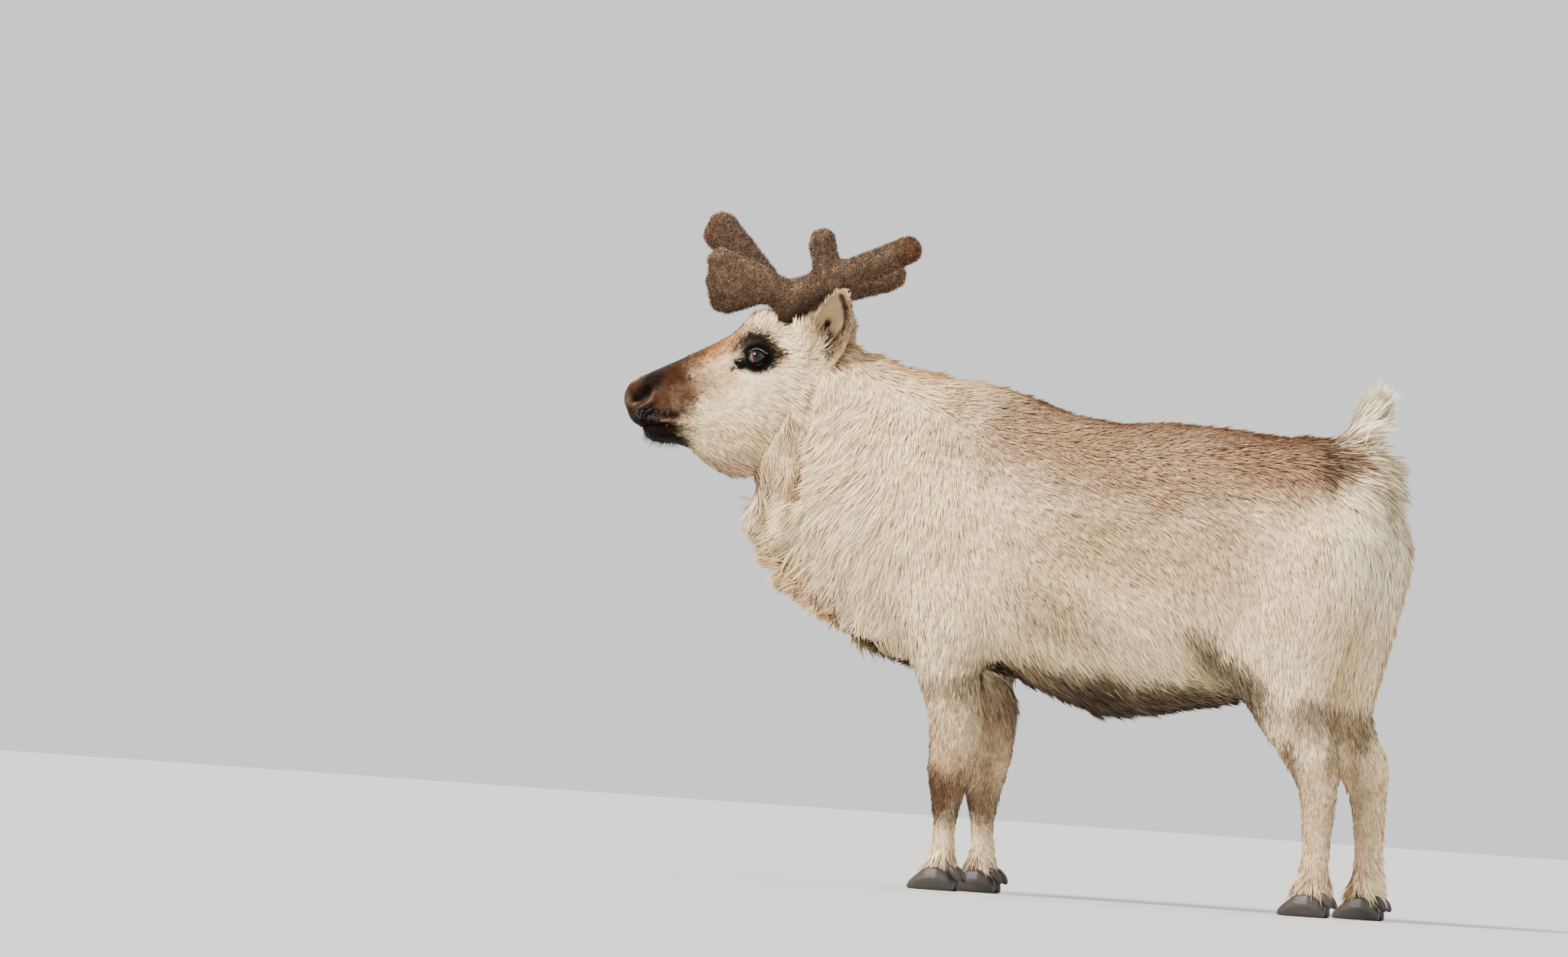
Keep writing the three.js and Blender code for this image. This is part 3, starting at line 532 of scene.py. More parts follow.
@dataclass(frozen=True)
class HairFinish:
    """Hair or haired skin, which takes its colour from the marking of each point.

    Grain is the scale and detail of a fine noise, stretched along the axes, that makes the
    colour darker and lighter between the two factors of shade, and bump is the depth and
    strength with which it stands out. Sheen is its weight and roughness.
    """

    name: str
    roughness: float
    specular: float
    grain: Pair
    shade: Pair
    sheen: Pair = (0.0, 0.5)
    stretch: Triple = (1.0, 1.0, 1.0)
    bump: Pair | None = None

    def material(self) -> Material:
        """The finished material."""
        tree = ShaderTree(self.name)
        grain = tree.grain(*self.grain, self.stretch)
        tree.set(Base_Color=tree.shade(tree.marking(), grain, *self.shade), Roughness=self.roughness)
        tree.set(Specular_IOR_Level=self.specular)
        tree.set(Sheen_Weight=self.sheen[0], Sheen_Roughness=self.sheen[1])
        if self.bump:
            tree.set(Normal=tree.bump(grain, *self.bump))
        return tree.material


FUR = HairFinish("winter_hair", 0.78, 0.07, (900, 2), (0.86, 1.14), (0.08, 0.5))
HIDE = HairFinish(
    "short_haired_skin", 0.85, 0.1, (1400, 3), (0.84, 1.1), stretch=(0.35, 1, 0.8), bump=(0.0006, 0.8)
)
VELVET = HairFinish(
    "antler_velvet", 0.9, 0.12, (260, 3), (-0.2, 2.2), sheen=(0.15, 0.4), bump=(0.0016, 0.9)
)


@dataclass(frozen=True)
class HornFinish:
    """Dark hoof horn with growth rings."""

    name: str = "hoof_horn"
    colour: Triple = (38, 33, 29)
    paler: float = 2.6
    roughness: float = 0.5

    def material(self) -> Material:
        """The finished material."""
        tree = ShaderTree(self.name)
        rings = tree.grain(60.0, 2.0, (0.4, 0.4, 6.0))
        dark = linear(self.colour)
        shades = {0: rings, 6: (*dark, 1), 7: (*dark * self.paler, 1)}
        colour = tree.node("ShaderNodeMix", {"data_type": "RGBA"}, shades, 2)
        tree.set(Base_Color=colour, Roughness=self.roughness)
        tree.set(Normal=tree.bump(rings, 0.0012, 0.6))
        return tree.material


@dataclass(frozen=True)
class EyeFinish:
    """The wet ball of the eye, painted by its own marking."""

    name: str = "wet_eye"

    def material(self) -> Material:
        """The finished material."""
        tree = ShaderTree(self.name)
        tree.set(Base_Color=tree.marking(), Roughness=0.06, Specular_IOR_Level=0.35)
        return tree.material


@dataclass(frozen=True)
class PlainFinish:
    """An even, dull finish."""

    name: str
    colour: Triple
    roughness: float = 0.9

    def material(self) -> Material:
        """The finished material."""
        tree = ShaderTree(self.name)
        tree.set(Base_Color=(*linear(self.colour), 1.0), Roughness=self.roughness)
        tree.set(Specular_IOR_Level=0.2)
        return tree.material


# Markings


class Tone(Enum):
    """The colours of the coat, as display colours."""

    CREAM = (248, 228, 194)
    PALE = (252, 241, 220)
    SAND = (217, 187, 146)
    TAUPE = (184, 152, 124)
    DUN = (156, 116, 82)
    BROWN = (82, 48, 30)
    UMBER = (92, 56, 34)
    DARK = (42, 24, 14)
    RUST = (106, 58, 32)
    TAN = (206, 152, 94)
    ORANGE = (170, 108, 42)
    GREY = (118, 100, 86)
    MIST = (140, 130, 116)
    BLACK = (14, 11, 10)
    OLIVE = (76, 60, 38)


class Part(Enum):
    """The frame that a place is given in."""

    BODY = "body"
    HEAD = "head"


@dataclass(frozen=True)
class Patch:
    """A soft-edged marking or patch of painted shade, the same on both sides of the animal.

    Its place and half-sizes are in millimetres. In the body they run along x, out from the
    middle and up; in the head they run forward, out and up. Slope tilts it in side view.
    """

    part: Part
    place: Triple
    size: Triple
    tone: Tone
    strength: float = 1.0
    edge: float = 0.35
    slope: float = 0.0
    ragged: float = 0.35

    def cover(self, local: Array, wobble: Array) -> Array:
        """How much of the marking each place has.

        Args:
            local: Places in the patch's own frame.
            wobble: Noise from 0 to 1 that makes its edge ragged.

        Returns:
            A share from 0 to the patch's strength.
        """
        distance = np.sqrt(ellipsoid(local, self.place, self.size, self.slope))
        distance = distance + self.ragged * (wobble - 0.5)
        return self.strength * (1.0 - smoothstep(1.0 - self.edge, 1.0 + self.edge, distance))


@dataclass(frozen=True)
class Stripe:
    """A soft line drawn in side view on both sides of the head, farther out than beyond."""

    line: tuple[Pair, ...]
    width: float
    beyond: float
    tone: Tone
    strength: float

    def cover(self, local: Array, wobble: Array) -> Array:
        """How much of the stripe each place has."""
        away = line_distance(local, self.line) * (0.7 + 0.6 * wobble)
        outside = smoothstep(self.beyond - 8, self.beyond, np.abs(local[:, 1]))
        return self.strength * outside * (1 - smoothstep(0.6 * self.width, 1.4 * self.width, away))


def patches(part: Part, *rows: tuple) -> tuple[Patch, ...]:
    """Patches of one part, from place to raggedness in each row."""
    return tuple(Patch(part, *row) for row in rows)


T = Tone
PATCHES: tuple[Patch, ...] = (
    *patches(
        Part.BODY,
        ((-30, 60, 785), (345, 195, 158), T.TAUPE, 0.82, 0.3, -2, 0.6),
        ((190, 90, 770), (120, 120, 66), T.DUN, 0.35, 0.5, -6, 0.6),
        ((-470, 0, 890), (80, 80, 30), T.SAND, 0.35),
        # Painted shade: the middle of the flank darkened, sand below and taupe above, where it lies in shade.
        ((-60, 204, 560), (250, 80, 90), T.SAND, 0.4, 0.6, 0, 0.8),
        ((-20, 204, 620), (250, 90, 66), T.TAUPE, 0.45, 0.7, -2, 0.8),
        ((-150, 190, 488), (90, 70, 40), T.GREY, 0.34, 0.6, -14, 0.9),
        # Painted shade: the underside of the belly darkened to brown, as it lies in shade.
        ((-35, 0, 326), (255, 250, 74), T.BROWN, 0.8, 0.4, 0, 0.7),
        ((-340, 90, 220), (70, 90, 120), T.DUN, 0.5, 0.6, 0, 1.4),
        ((300, 100, 200), (70, 90, 120), T.DUN, 0.45, 0.6, 0, 1.4),
        # Painted shade: the lower edge of the belly darkened to umber.
        ((-130, 130, 372), (160, 80, 30), T.UMBER, 0.6, 0.6, -8, 0.8),
        ((152, 150, 404), (100, 100, 30), T.BROWN, 0.75, 0.6, -40, 0.8),
        ((284, 130, 338), (36, 95, 38), T.BROWN, 0.6, 0.6, -20, 0.9),
        ((332, 120, 316), (16, 90, 42), T.UMBER, 0.6, 0.6, 0, 0.8),
        ((254, 100, 272), (13, 60, 34), T.UMBER, 0.65, 0.6, 10, 0.8),
        ((324, 100, 262), (10, 60, 30), T.UMBER, 0.5, 0.6, 0, 0.8),
        ((287, 100, 282), (20, 60, 24), T.PALE, 0.5, 0.5),
        ((-345, 130, 354), (48, 90, 20), T.UMBER, 0.42, 0.7, 10, 0.9),
        ((-360, 88, 166), (30, 60, 50), T.BROWN, 0.88, 0.45, 0, 0.7),
        # Painted shade: a brown patch at the back of each foreleg's knee, where the far foreleg lies in
        # shade.
        ((-320, 85, 170), (20, 60, 56), T.BROWN, 0.7, 0.6, 0, 0.9),
        ((262, 100, 150), (12, 60, 100), T.UMBER, 0.6, 0.6, 0, 0.9),
        ((-350, 85, 34), (60, 90, 26), T.DUN, 0.6, 0.6, 0, 1.0),
        ((300, 100, 34), (60, 90, 26), T.DUN, 0.5, 0.6, 0, 1.0),
        ((-640, 0, 520), (95, 80, 40), T.TAN, 0.16, 0.6, -46, 0.9),
        ((-500, 0, 428), (66, 60, 22), T.BROWN, 0.6, 0.5, -36, 0.7),
        ((-440, 0, 388), (60, 80, 26), T.DARK, 0.75, 0.5, -20, 0.7),
        ((-280, 30, 385), (52, 72, 30), T.DARK, 0.8, 0.5, -10, 0.5),
        ((268, 55, 752), (15, 70, 50), T.BROWN, 0.75, 0.6, 20, 0.9),
        ((345, 0, 650), (62, 150, 140), T.PALE, 0.8, 0.35),
        ((330, 0, 838), (72, 60, 98), T.PALE, 0.95, 0.2),
    ),
    *patches(
        Part.HEAD,
        ((212, 0, 892), (60, 62, 24), T.ORANGE, 0.85, 0.5, -33, 0.9),
        ((228, 0, 890), (40, 40, 10), T.BROWN, 0.7, 0.5, -33, 1.3),
        ((182, 0, 906), (36, 56, 26), T.TAN, 0.6, 0.6, -30, 0.7),
        ((232, 60, 830), (50, 50, 34), T.DUN, 0.72, 0.6, -10, 0.9),
        ((177, 70, 842), (17, 40, 22), T.TAN, 0.55, 0.6, 0, 0.9),
        ((174, 66, 876), (17, 40, 24), T.GREY, 0.5, 0.6, 0, 0.9),
        ((282, 20, 806), (46, 90, 52), T.UMBER, 0.9, 0.4, -10, 0.8),
        ((310, 40, 780), (22, 60, 18), T.RUST, 0.7, 0.6, 0, 0.6),
        ((292, 0, 846), (62, 72, 26), T.DARK, 0.95, 0.4, -27, 0.6),
        ((262, 40, 852), (30, 50, 20), T.UMBER, 0.75, 0.6, -27, 0.8),
        ((322, 20, 826), (34, 60, 17), T.DARK, 0.8, 0.5, -28, 0.6),
        ((354, 0, 798), (20, 50, 32), T.OLIVE, 0.95, 0.3, 0, 0.3),
        ((334, 0, 768), (36, 60, 20), T.DARK, 0.9, 0.4, 0, 0.4),
        ((322, 40, 789), (30, 60, 13), T.UMBER, 0.85, 0.5, -30, 0.5),
        ((331, 40, 804), (22, 30, 10.5), T.BLACK, 1.0, 0.25, -34, 0.15),
        ((304, 40, 764), (44, 70, 17), T.DARK, 1.0, 0.35, -14, 0.5),
        ((322, 30, 772), (22, 60, 13), T.BLACK, 0.8, 0.5, -14, 0.5),
        ((324, 40, 783), (22, 60, 9), T.DARK, 0.85, 0.5, -10, 0.4),
        ((344, 0, 820), (16, 60, 13), T.UMBER, 0.85, 0.5, -20, 0.5),
        ((294, 20, 752), (56, 60, 9), T.BLACK, 0.95, 0.4, 0, 0.3),
        ((300, 0, 734), (58, 60, 27), T.DARK, 1.0, 0.3, 0, 0.5),
        ((150, 0, 696), (110, 80, 34), T.TAUPE, 0.6, 0.6),
        ((165, 60, 745), (60, 40, 26), T.SAND, 0.45, 0.7, 0, 0.8),
        ((144, 66, 903), (36, 44, 18), T.DARK, 0.95, 0.5, -8, 0.7),
        ((164, 66, 865), (15, 30, 11), T.BLACK, 1.0, 0.3, 34, 0.3),
        ((134, 76, 876), (33, 40, 29.5), T.BLACK, 1.0, 0.2, -8, 0.12),
        ((98, 80, 880), (9, 30, 12), T.RUST, 0.8, 0.6, 0, 0.4),
        ((10, 84, 948), (40, 70, 56), T.DUN, 0.42, 0.6, 0, 1.3),
        ((12, 84, 908), (20, 60, 26), T.UMBER, 0.8, 0.6, 0, 0.9),
        ((-16, 90, 950), (9, 40, 40), T.UMBER, 0.6, 0.6, 8, 0.8),
        ((22, 84, 942), (6, 60, 14), T.BLACK, 0.95, 0.4, 24, 0.6),
    ),
)


@dataclass
class Markings:
    """The pattern of the coat, the same for skin and hair, with painted shade on the flanks, under the belly
    and at the back of the forelegs' knees.
    """

    patches: tuple[Patch, ...] = PATCHES
    stripes: tuple[Stripe, ...] = (
        Stripe(((-2, 990), (-10, 970), (-12, 952), (-6, 934), (8, 914), (22, 900)), 5.0, 42, T.DARK, 0.9),
        Stripe(((20, 948), (23, 930), (22, 914), (17, 896), (14, 880)), 4.2, 42, T.BLACK, 0.85),
        Stripe(
            ((182, 890), (168, 907), (146, 914), (124, 908), (108, 895), (98, 884)), 6.0, 50, T.DARK, 0.85
        ),
        Stripe(((160, 868), (171, 861), (179, 855)), 5.0, 40, T.BLACK, 0.95),
        Stripe(((336, 783), (326, 786), (317, 792), (311, 800), (309, 810)), 2.0, 26, T.MIST, 0.3),
        Stripe(((270, 850), (288, 828), (291, 802), (284, 774)), 9.0, 20, T.BROWN, 0.6),
        Stripe(((292, 763), (268, 765), (250, 770)), 2.4, 30, T.TAUPE, 0.5),
    )

    def colour(self, points: Array) -> Array:
        """The coat's colour.

        Args:
            points: Places in the model's frame.

        Returns:
            Linear red, green and blue for each place.
        """
        wobble = 0.45 * noise(points, 0.045, 3) + 0.3 * noise(points, 0.014, 4)
        wobble += 0.25 * noise(points, 0.005, 5)
        frames = {Part.BODY: STANCE.in_body(points), Part.HEAD: STANCE.in_head(points)}
        colour = np.tile(pigment(T.CREAM.value), (len(points), 1))
        mottle = 0.6 * noise(points, 0.08, 8) + 0.4 * noise(points, 0.025, 9)
        colour = mix(colour, pigment(T.SAND.value), (0.45 * smoothstep(0.5, 0.85, mottle))[:, None])
        for patch in self.patches:
            cover = patch.cover(frames[patch.part], wobble)
            colour = mix(colour, pigment(patch.tone.value), cover[:, None])
        for stripe in self.stripes:
            cover = stripe.cover(frames[Part.HEAD], wobble)
            colour = mix(colour, pigment(stripe.tone.value), cover[:, None])
        dark = smoothstep(0.5, 0.2, colour.mean(1))
        grain = noise(points, 0.0045, 6) + noise(points, 0.011, 7) - 1
        return colour * (1 + mix(0.12, 0.75, dark) * grain)[:, None]


# The lie, length and depth of the coat


class CoatPiece(Enum):
    """The pieces that the coat is made in."""

    HEAD = "face_coat"
    EARS = "ear_hair"
    NECK = "neck_coat"
    RUFF = "throat_ruff"
    BACK = "back_coat"
    LEFT_FLANK = "left_flank_coat"
    RIGHT_FLANK = "right_flank_coat"
    BELLY = "belly_coat"
    RUMP = "rump_coat"
    TAIL = "tail_plume"
    FRONT_LEGS = "front_leg_coat"
    HIND_LEGS = "hind_leg_coat"


@dataclass(frozen=True)
class Region:
    """How the hair grows about one place, the same on both sides.

    Place and lie are in the frame of the part; length, width and spacing are in millimetres;
    root and tip are how far the hair stands off the skin, in degrees.
    """

    piece: CoatPiece
    part: Part
    place: Triple
    lie: Triple
    length: float
    width: float
    spacing: float
    root: float = 38.0
    tip: float = 12.0
    clump: float = 0.5
    sink: float | None = None

    @property
    def depth(self) -> float:
        """How far the hair's tips stand off the skin, in millimetres, unless sink says."""
        if self.sink is not None:
            return self.sink
        rise = 0.45 * math.sin(math.radians(self.root)) + 0.55 * math.sin(math.radians(self.tip))
        return self.length * rise


def regions(piece: CoatPiece, part: Part, *rows: tuple) -> tuple[Region, ...]:
    """Regions of one piece, from place to sink in each row."""
    return tuple(Region(piece, part, *row) for row in rows)


C = CoatPiece
B = Part.BODY
H = Part.HEAD
REGIONS: tuple[Region, ...] = (
    *regions(
        C.HEAD, H,
        ((352, 0, 812), (-0.2, 0, 1), 3.45, 1.5, 1.7, 24, 3.5, 0.1),
        ((345, 30, 790), (-1, 0.5, 0), 3.45, 1.5, 1.7, 24, 3.5, 0.1),
        ((300, 0, 860), (-1, 0, 0.35), 5.75, 1.7, 1.8, 24, 3.5, 0.2),
        ((300, 44, 805), (-1, 0, 0.0), 6.9, 1.7, 1.8, 24, 3.5, 0.2),
        ((250, 0, 883), (-1, 0, 0.45), 8.05, 1.7, 1.8, 24, 4.2, 0.2),
        ((230, 50, 800), (-1, 0, -0.15), 10.35, 2, 1.9, 24, 4.2, 0.3),
        ((122, 46, 926), (-0.2, 0.1, 1), 24, 2.2, 1.8, 56, 40, 0.4, 2),
        ((97, 60, 912), (-0.6, 0, -0.4), 10, 1.8, 1.8, 24, 6, 0.3),
        ((66, 60, 925), (0.1, 0.1, 1), 26, 2.2, 1.8, 56, 40, 0.4, 2),
    ),
    *regions(
        C.NECK, H,
        ((78, 84, 772), (-0.85, 0, -0.55), 40, 2.1, 2.2, 24, 8),
        ((96, 62, 704), (-0.85, 0, -0.55), 40, 2.1, 2.2, 24, 8),
    ),
    *regions(
        C.HEAD, H,
        ((190, 0, 920), (-1, 0, 0.6), 10.35, 2, 1.9, 25.6, 5.6, 0.3),
        ((180, 60, 850), (-1, 0, -0.1), 9.2, 1.7, 1.8, 22.4, 3.5, 0.2),
        ((134, 72, 905), (-1, 0, 0.35), 8.05, 1.7, 1.8, 22.4, 4.2, 0.2),
        ((134, 74, 850), (-1, 0, -0.35), 8.05, 1.7, 1.8, 22.4, 4.2, 0.2),
        ((98, 80, 880), (-1, 0, 0.05), 13.8, 2, 2, 24, 5.6, 0.3),
        ((128, 14, 955), (-0.7, 0.2, 0.6), 20, 2.2, 1.9, 40, 26, 0.4),
        ((100, 30, 955), (-0.6, 0.25, 0.7), 26, 2.2, 1.9, 46, 32, 0.4),
        ((64, 46, 940), (-0.5, 0.3, 0.75), 26, 2.2, 1.9, 40, 26, 0.4),
        ((110, 78, 790), (-0.9, 0, -0.5), 19.55, 2.1, 2.2, 24, 6.3, 0.4),
        ((170, 50, 740), (-0.9, 0, -0.45), 16.1, 2.1, 2.2, 24, 6.3, 0.4),
        ((250, 0, 722), (-1, 0, -0.25), 13.8, 2, 2.1, 27.2, 8.4, 0.3),
        ((310, 0, 735), (-1, 0, -0.4), 9.2, 1.7, 1.9, 28.8, 9.8, 0.2),
        ((60, 76, 830), (-1, 0, -0.3), 22, 2.2, 2.3, 25.6, 7, 0.4),
        ((150, 20, 684), (-0.95, 0, -0.2), 20.7, 2.1, 2.3, 24, 7, 0.4),
    ),
    *regions(
        C.NECK, B,
        ((-600, 0, 925), (1, 0, -0.1), 38, 2, 2.3, 24.5, 7.2),
        ((-600, 95, 850), (0.2, 0.1, -1), 28, 1.9, 2.3, 17, 5, 0.4),
        ((-560, 115, 800), (-0.5, 0, -0.9), 42, 2, 2.3, 20.2, 6, 0.6),
        ((-652, 98, 760), (-0.3, 0, -0.95), 30, 1.9, 2.3, 15, 4, 0.4),
        ((-668, 80, 700), (-0.6, 0, -0.8), 32, 2, 2.3, 15, 4, 0.4),
        ((-605, 110, 735), (-0.65, 0, -0.75), 38, 2.1, 2.3, 16, 5),
        ((-540, 125, 700), (-0.6, 0, -0.8), 46, 2.2, 2.3, 20.2, 6, 0.6),
    ),
    *regions(
        C.RUFF, B,
        ((-700, 30, 690), (-0.8, 0, -0.6), 50, 2.7, 3, 16, 6, 0.7),
        ((-690, 50, 630), (-0.8, 0, -0.6), 74, 2.9, 3, 18, 8, 0.85),
        ((-662, 70, 560), (-0.77, 0, -0.64), 90, 3, 3, 18, 8, 0.88),
        ((-610, 82, 505), (-0.74, 0, -0.67), 86, 3, 3, 18, 8, 0.88),
        ((-550, 86, 462), (-0.65, 0, -0.75), 56, 2.8, 3, 18, 8, 0.85),
        ((-500, 60, 425), (-0.4, 0, -0.9), 36, 2.4, 3, 18, 7, 0.6),
    ),
    *regions(
        C.NECK, B,
        ((-560, 130, 610), (-0.5, 0, -0.86), 50, 2.3, 2.3, 20.2, 6, 0.6),
        ((-500, 130, 540), (-0.3, 0, -0.95), 44, 2.2, 2.3, 20.2, 6, 0.6),
    ),
    *regions(
        C.BACK, B,
        ((-480, 0, 890), (1, 0, -0.05), 30, 2, 2.6, 25.9, 8.4),
        ((-380, 40, 870), (1, 0, -0.2), 24, 1.9, 2.6, 25.9, 8.4),
        ((-180, 50, 822), (1, 0, -0.1), 22, 1.9, 2.6, 27.4, 9),
        ((0, 50, 815), (1, 0, -0.08), 22, 1.9, 2.6, 27.4, 9),
        ((160, 50, 808), (1, 0, -0.12), 24, 1.9, 2.6, 27.4, 9),
        ((260, 40, 795), (1, 0, -0.4), 26, 1.9, 2.6, 24.5, 8.4),
    ),
    *regions(
        C.LEFT_FLANK, B,
        ((-450, 140, 760), (0.15, 0, -1), 32, 2, 2.6, 23, 7.2),
        ((-370, 160, 690), (0.35, 0, -0.95), 28, 2, 2.6, 24.5, 7.2),
        ((-390, 165, 560), (0.25, 0, -1), 28, 2, 2.6, 23, 7.2),
        ((-200, 180, 720), (0.8, 0, -0.6), 25, 1.9, 2.6, 25.9, 8.4),
        ((0, 190, 700), (0.85, 0, -0.55), 25, 1.9, 2.6, 25.9, 8.4),
        ((-220, 190, 570), (0.7, 0, -0.72), 28, 2, 2.6, 24.5, 7.2),
        ((0, 204, 560), (0.75, 0, -0.66), 28, 2, 2.6, 24.5, 7.2),
        ((-200, 175, 440), (0.6, 0, -0.8), 32, 2, 2.6, 21.6, 7.2),
        ((20, 180, 430), (0.65, 0, -0.76), 32, 2, 2.6, 21.6, 7.2),
    ),
    *regions(
        C.BELLY, B,
        ((-300, 70, 372), (0.6, 0, -0.8), 38, 2.1, 2.6, 25.6, 11.2),
        ((-120, 70, 325), (0.8, 0, -0.6), 44, 2.2, 2.6, 24, 9.8),
        ((50, 70, 338), (0.8, 0, -0.6), 40, 2.2, 2.6, 24, 9.8),
        ((150, 60, 375), (0.8, 0, -0.5), 30, 2, 2.6, 24, 8.4),
    ),
    *regions(
        C.RUMP, B,
        ((150, 180, 700), (0.75, 0, -0.66), 26, 1.9, 2.6, 24.5, 7.2),
        ((280, 140, 720), (0.4, 0, -0.9), 28, 2, 2.6, 23, 7.2),
        ((200, 180, 600), (0.5, 0, -0.86), 28, 2, 2.6, 23, 7.2),
        ((110, 175, 520), (0.5, 0, -0.86), 30, 2, 2.6, 21.6, 7.2),
        ((350, 60, 690), (0.15, 0, -1), 40, 2.3, 2.6, 18.7, 7.2, 0.6),
        ((350, 90, 590), (0.0, 0, -1), 36, 2.1, 2.6, 18.7, 6, 0.6),
        ((320, 100, 480), (-0.1, 0, -1), 28, 2, 2.6, 18.7, 6),
        ((150, 130, 440), (0.35, 0, -0.93), 28, 2, 2.6, 20.2, 6),
    ),
    *regions(
        C.FRONT_LEGS, B,
        ((-370, 140, 480), (0.15, 0, -1), 24, 2, 2.8, 23.8, 8),
        ((-340, 120, 400), (0.12, 0, -1), 20, 1.9, 2.6, 22.1, 7.2, 0.4),
        ((-335, 100, 300), (0.1, 0, -1), 16, 1.8, 2.5, 22.1, 6.4, 0.4),
        ((-335, 85, 200), (0.1, 0, -1), 13, 1.6, 2.4, 22.1, 6.4, 0.3),
        ((-340, 85, 100), (0.05, 0, -1), 13, 1.6, 2.4, 22.1, 6.4, 0.3),
        ((-326, 85, 46), (0.35, 0, -1), 34, 2.0, 2.1, 34, 22, 0.6, 4),
        ((-374, 85, 46), (-0.45, 0, -1), 30, 2.0, 2.1, 30, 20, 0.6, 4),
    ),
    *regions(
        C.HIND_LEGS, B,
        ((240, 120, 400), (0.2, 0, -1), 22, 2, 2.7, 22.1, 7.2),
        ((260, 110, 320), (0.15, 0, -1), 18, 1.8, 2.6, 22.1, 6.4, 0.4),
        ((300, 100, 230), (0.1, 0, -1), 15, 1.7, 2.5, 22.1, 6.4, 0.4),
        ((310, 100, 120), (0.05, 0, -1), 13, 1.6, 2.4, 22.1, 6.4, 0.3),
        ((329, 100, 46), (0.35, 0, -1), 34, 2.0, 2.1, 34, 22, 0.6, 4),
        ((281, 100, 46), (-0.45, 0, -1), 30, 2.0, 2.1, 30, 20, 0.6, 4),
    ),
    *regions(
        C.TAIL, B,
        ((336, 0, 884), (0.5, 0, 1), 36, 2.4, 1.6, 6, -2, 0.9, 0),
        ((318, 18, 850), (0.52, 0, 0.86), 56, 2.4, 1.6, 9, 1, 0.7, 0),
        ((296, 0, 850), (0.5, 0, 0.86), 50, 2.4, 1.6, 7, 0, 0.6, 0),
        ((274, 0, 806), (0.4, 0, 0.92), 48, 2.4, 1.7, 8, 0, 0.5, 0),
        ((348, 0, 850), (0.62, 0, 0.78), 46, 2.6, 1.6, 18, 8, 0.7, 0),
        ((326, 10, 812), (0.95, 0, 0.3), 66, 3.2, 1.7, 34, 18, 0.6, 0),
        ((304, 10, 768), (1.0, 0, -0.02), 76, 3.2, 1.8, 36, 18, 0.6, 0),
        ((284, 26, 800), (0.6, 0, 0.75), 60, 3.0, 1.7, 16, 6, 0.5, 2),
        ((284, 30, 760), (0.9, 0, 0.2), 60, 3.0, 1.8, 22, 8, 0.5, 2),
    ),
)


@dataclass
class CoatMap:
    """The hair's growth at any place, blended between the regions."""

    regions: tuple[Region, ...] = REGIONS
    reach: float = 0.02
    places: Array = field(init=False)
    lies: Array = field(init=False)
    index: Array = field(init=False)

    def __post_init__(self) -> None:
        """Lists the regions' places and lies on both sides, with the index of each one's region."""
        places, lies, index = [], [], []
        for i, region in enumerate(self.regions):
            for side in (1, -1) if region.place[1] else (1,):
                flip = np.array([1, side, 1])
                place, lie = np.array(region.place) * flip, np.array(region.lie) * flip
                if region.part is Part.HEAD:
                    places.append(STANCE.head(place)[0])
                    lies.append(STANCE.turn() @ lie)
                else:
                    places.append(STANCE.body(place)[0])
                    lies.append(lie)
                index.append(i)
        self.places, self.lies, self.index = np.array(places), unit(np.array(lies)), np.array(index)

    def weights(self, points: Array) -> Array:
        """How much each place of the regions tells at each point."""
        squared = (points**2).sum(1)[:, None] - 2 * points @ self.places.T + (self.places**2).sum(1)
        near = np.maximum(squared, 0.0) + self.reach**2
        weights = 1.0 / (near * near * np.sqrt(near))
        return weights / weights.sum(1, keepdims=True)

    def listed(self, name: str) -> Array:
        """One value of the regions, for each place of theirs."""
        return np.array([getattr(self.regions[i], name) for i in self.index])

    def depth(self, points: Array) -> Array:
        """How far the skin lies under the coat's surface, in metres."""
        depths = self.listed("depth") * MM
        blocks = np.array_split(points, len(points) // 50_000 + 1)
        return np.concatenate([self.weights(block) @ depths for block in blocks])


@dataclass
class Growth:
    """The hair's growth at a set of places, one row each, in metres and degrees."""

    lie: Array
    length: Array
    width: Array
    spacing: Array
    root: Array
    tip: Array
    clump: Array
    piece: Array

    @classmethod
    def on(cls, points: Array, coat: CoatMap) -> Growth:
        """The growth that the regions give at places.

        Args:
            points: Places in the model's frame.
            coat: The regions.

        Returns:
            The growth, with the piece of the nearest region.
        """
        weights = coat.weights(points)
        pieces = list(CoatPiece)
        owners = np.array([pieces.index(coat.regions[i].piece) for i in coat.index])
        piece = owners[weights.argmax(1)]
        right = (piece == pieces.index(CoatPiece.LEFT_FLANK)) & (points[:, 1] > 0)
        piece = np.where(right, pieces.index(CoatPiece.RIGHT_FLANK), piece)
        sizes = [weights @ coat.listed(name) * MM for name in ("length", "width", "spacing")]
        stances = [weights @ coat.listed(name) for name in ("root", "tip", "clump")]
        return cls(unit(weights @ coat.lies), *sizes, *stances, piece)

    def arrays(self) -> list[Array]:
        """Its arrays, in their order."""
        return [getattr(self, name) for name in self.__dataclass_fields__]

    def pick(self, corners: Array, shares: Array) -> Growth:
        """The growth at places inside triangles."""
        numbers = [blended(values, corners, shares) for values in self.arrays()[:-1]]
        return Growth(*numbers, self.piece[corners[:, 0]])

    def masked(self, mask: Array) -> Growth:
        """The growth at the places that a mask picks."""
        return Growth(*(values[mask] for values in self.arrays()))

    def stacked(self, other: Growth) -> Growth:
        """This growth with another's places after its own."""
        return Growth(*map(np.concatenate, zip(self.arrays(), other.arrays())))


def blended(values: Array, corners: Array, shares: Array) -> Array:
    """The values of points, blended at places inside triangles.

    Args:
        values: One number or row for each point.
        corners: For each place, the three points of its triangle.
        shares: The weights of the three.

    Returns:
        One number or row for each place.
    """
    if values.ndim == 2:
        return np.einsum("ij,ijk->ik", shares, values[corners])
    return (shares * values[corners]).sum(1)


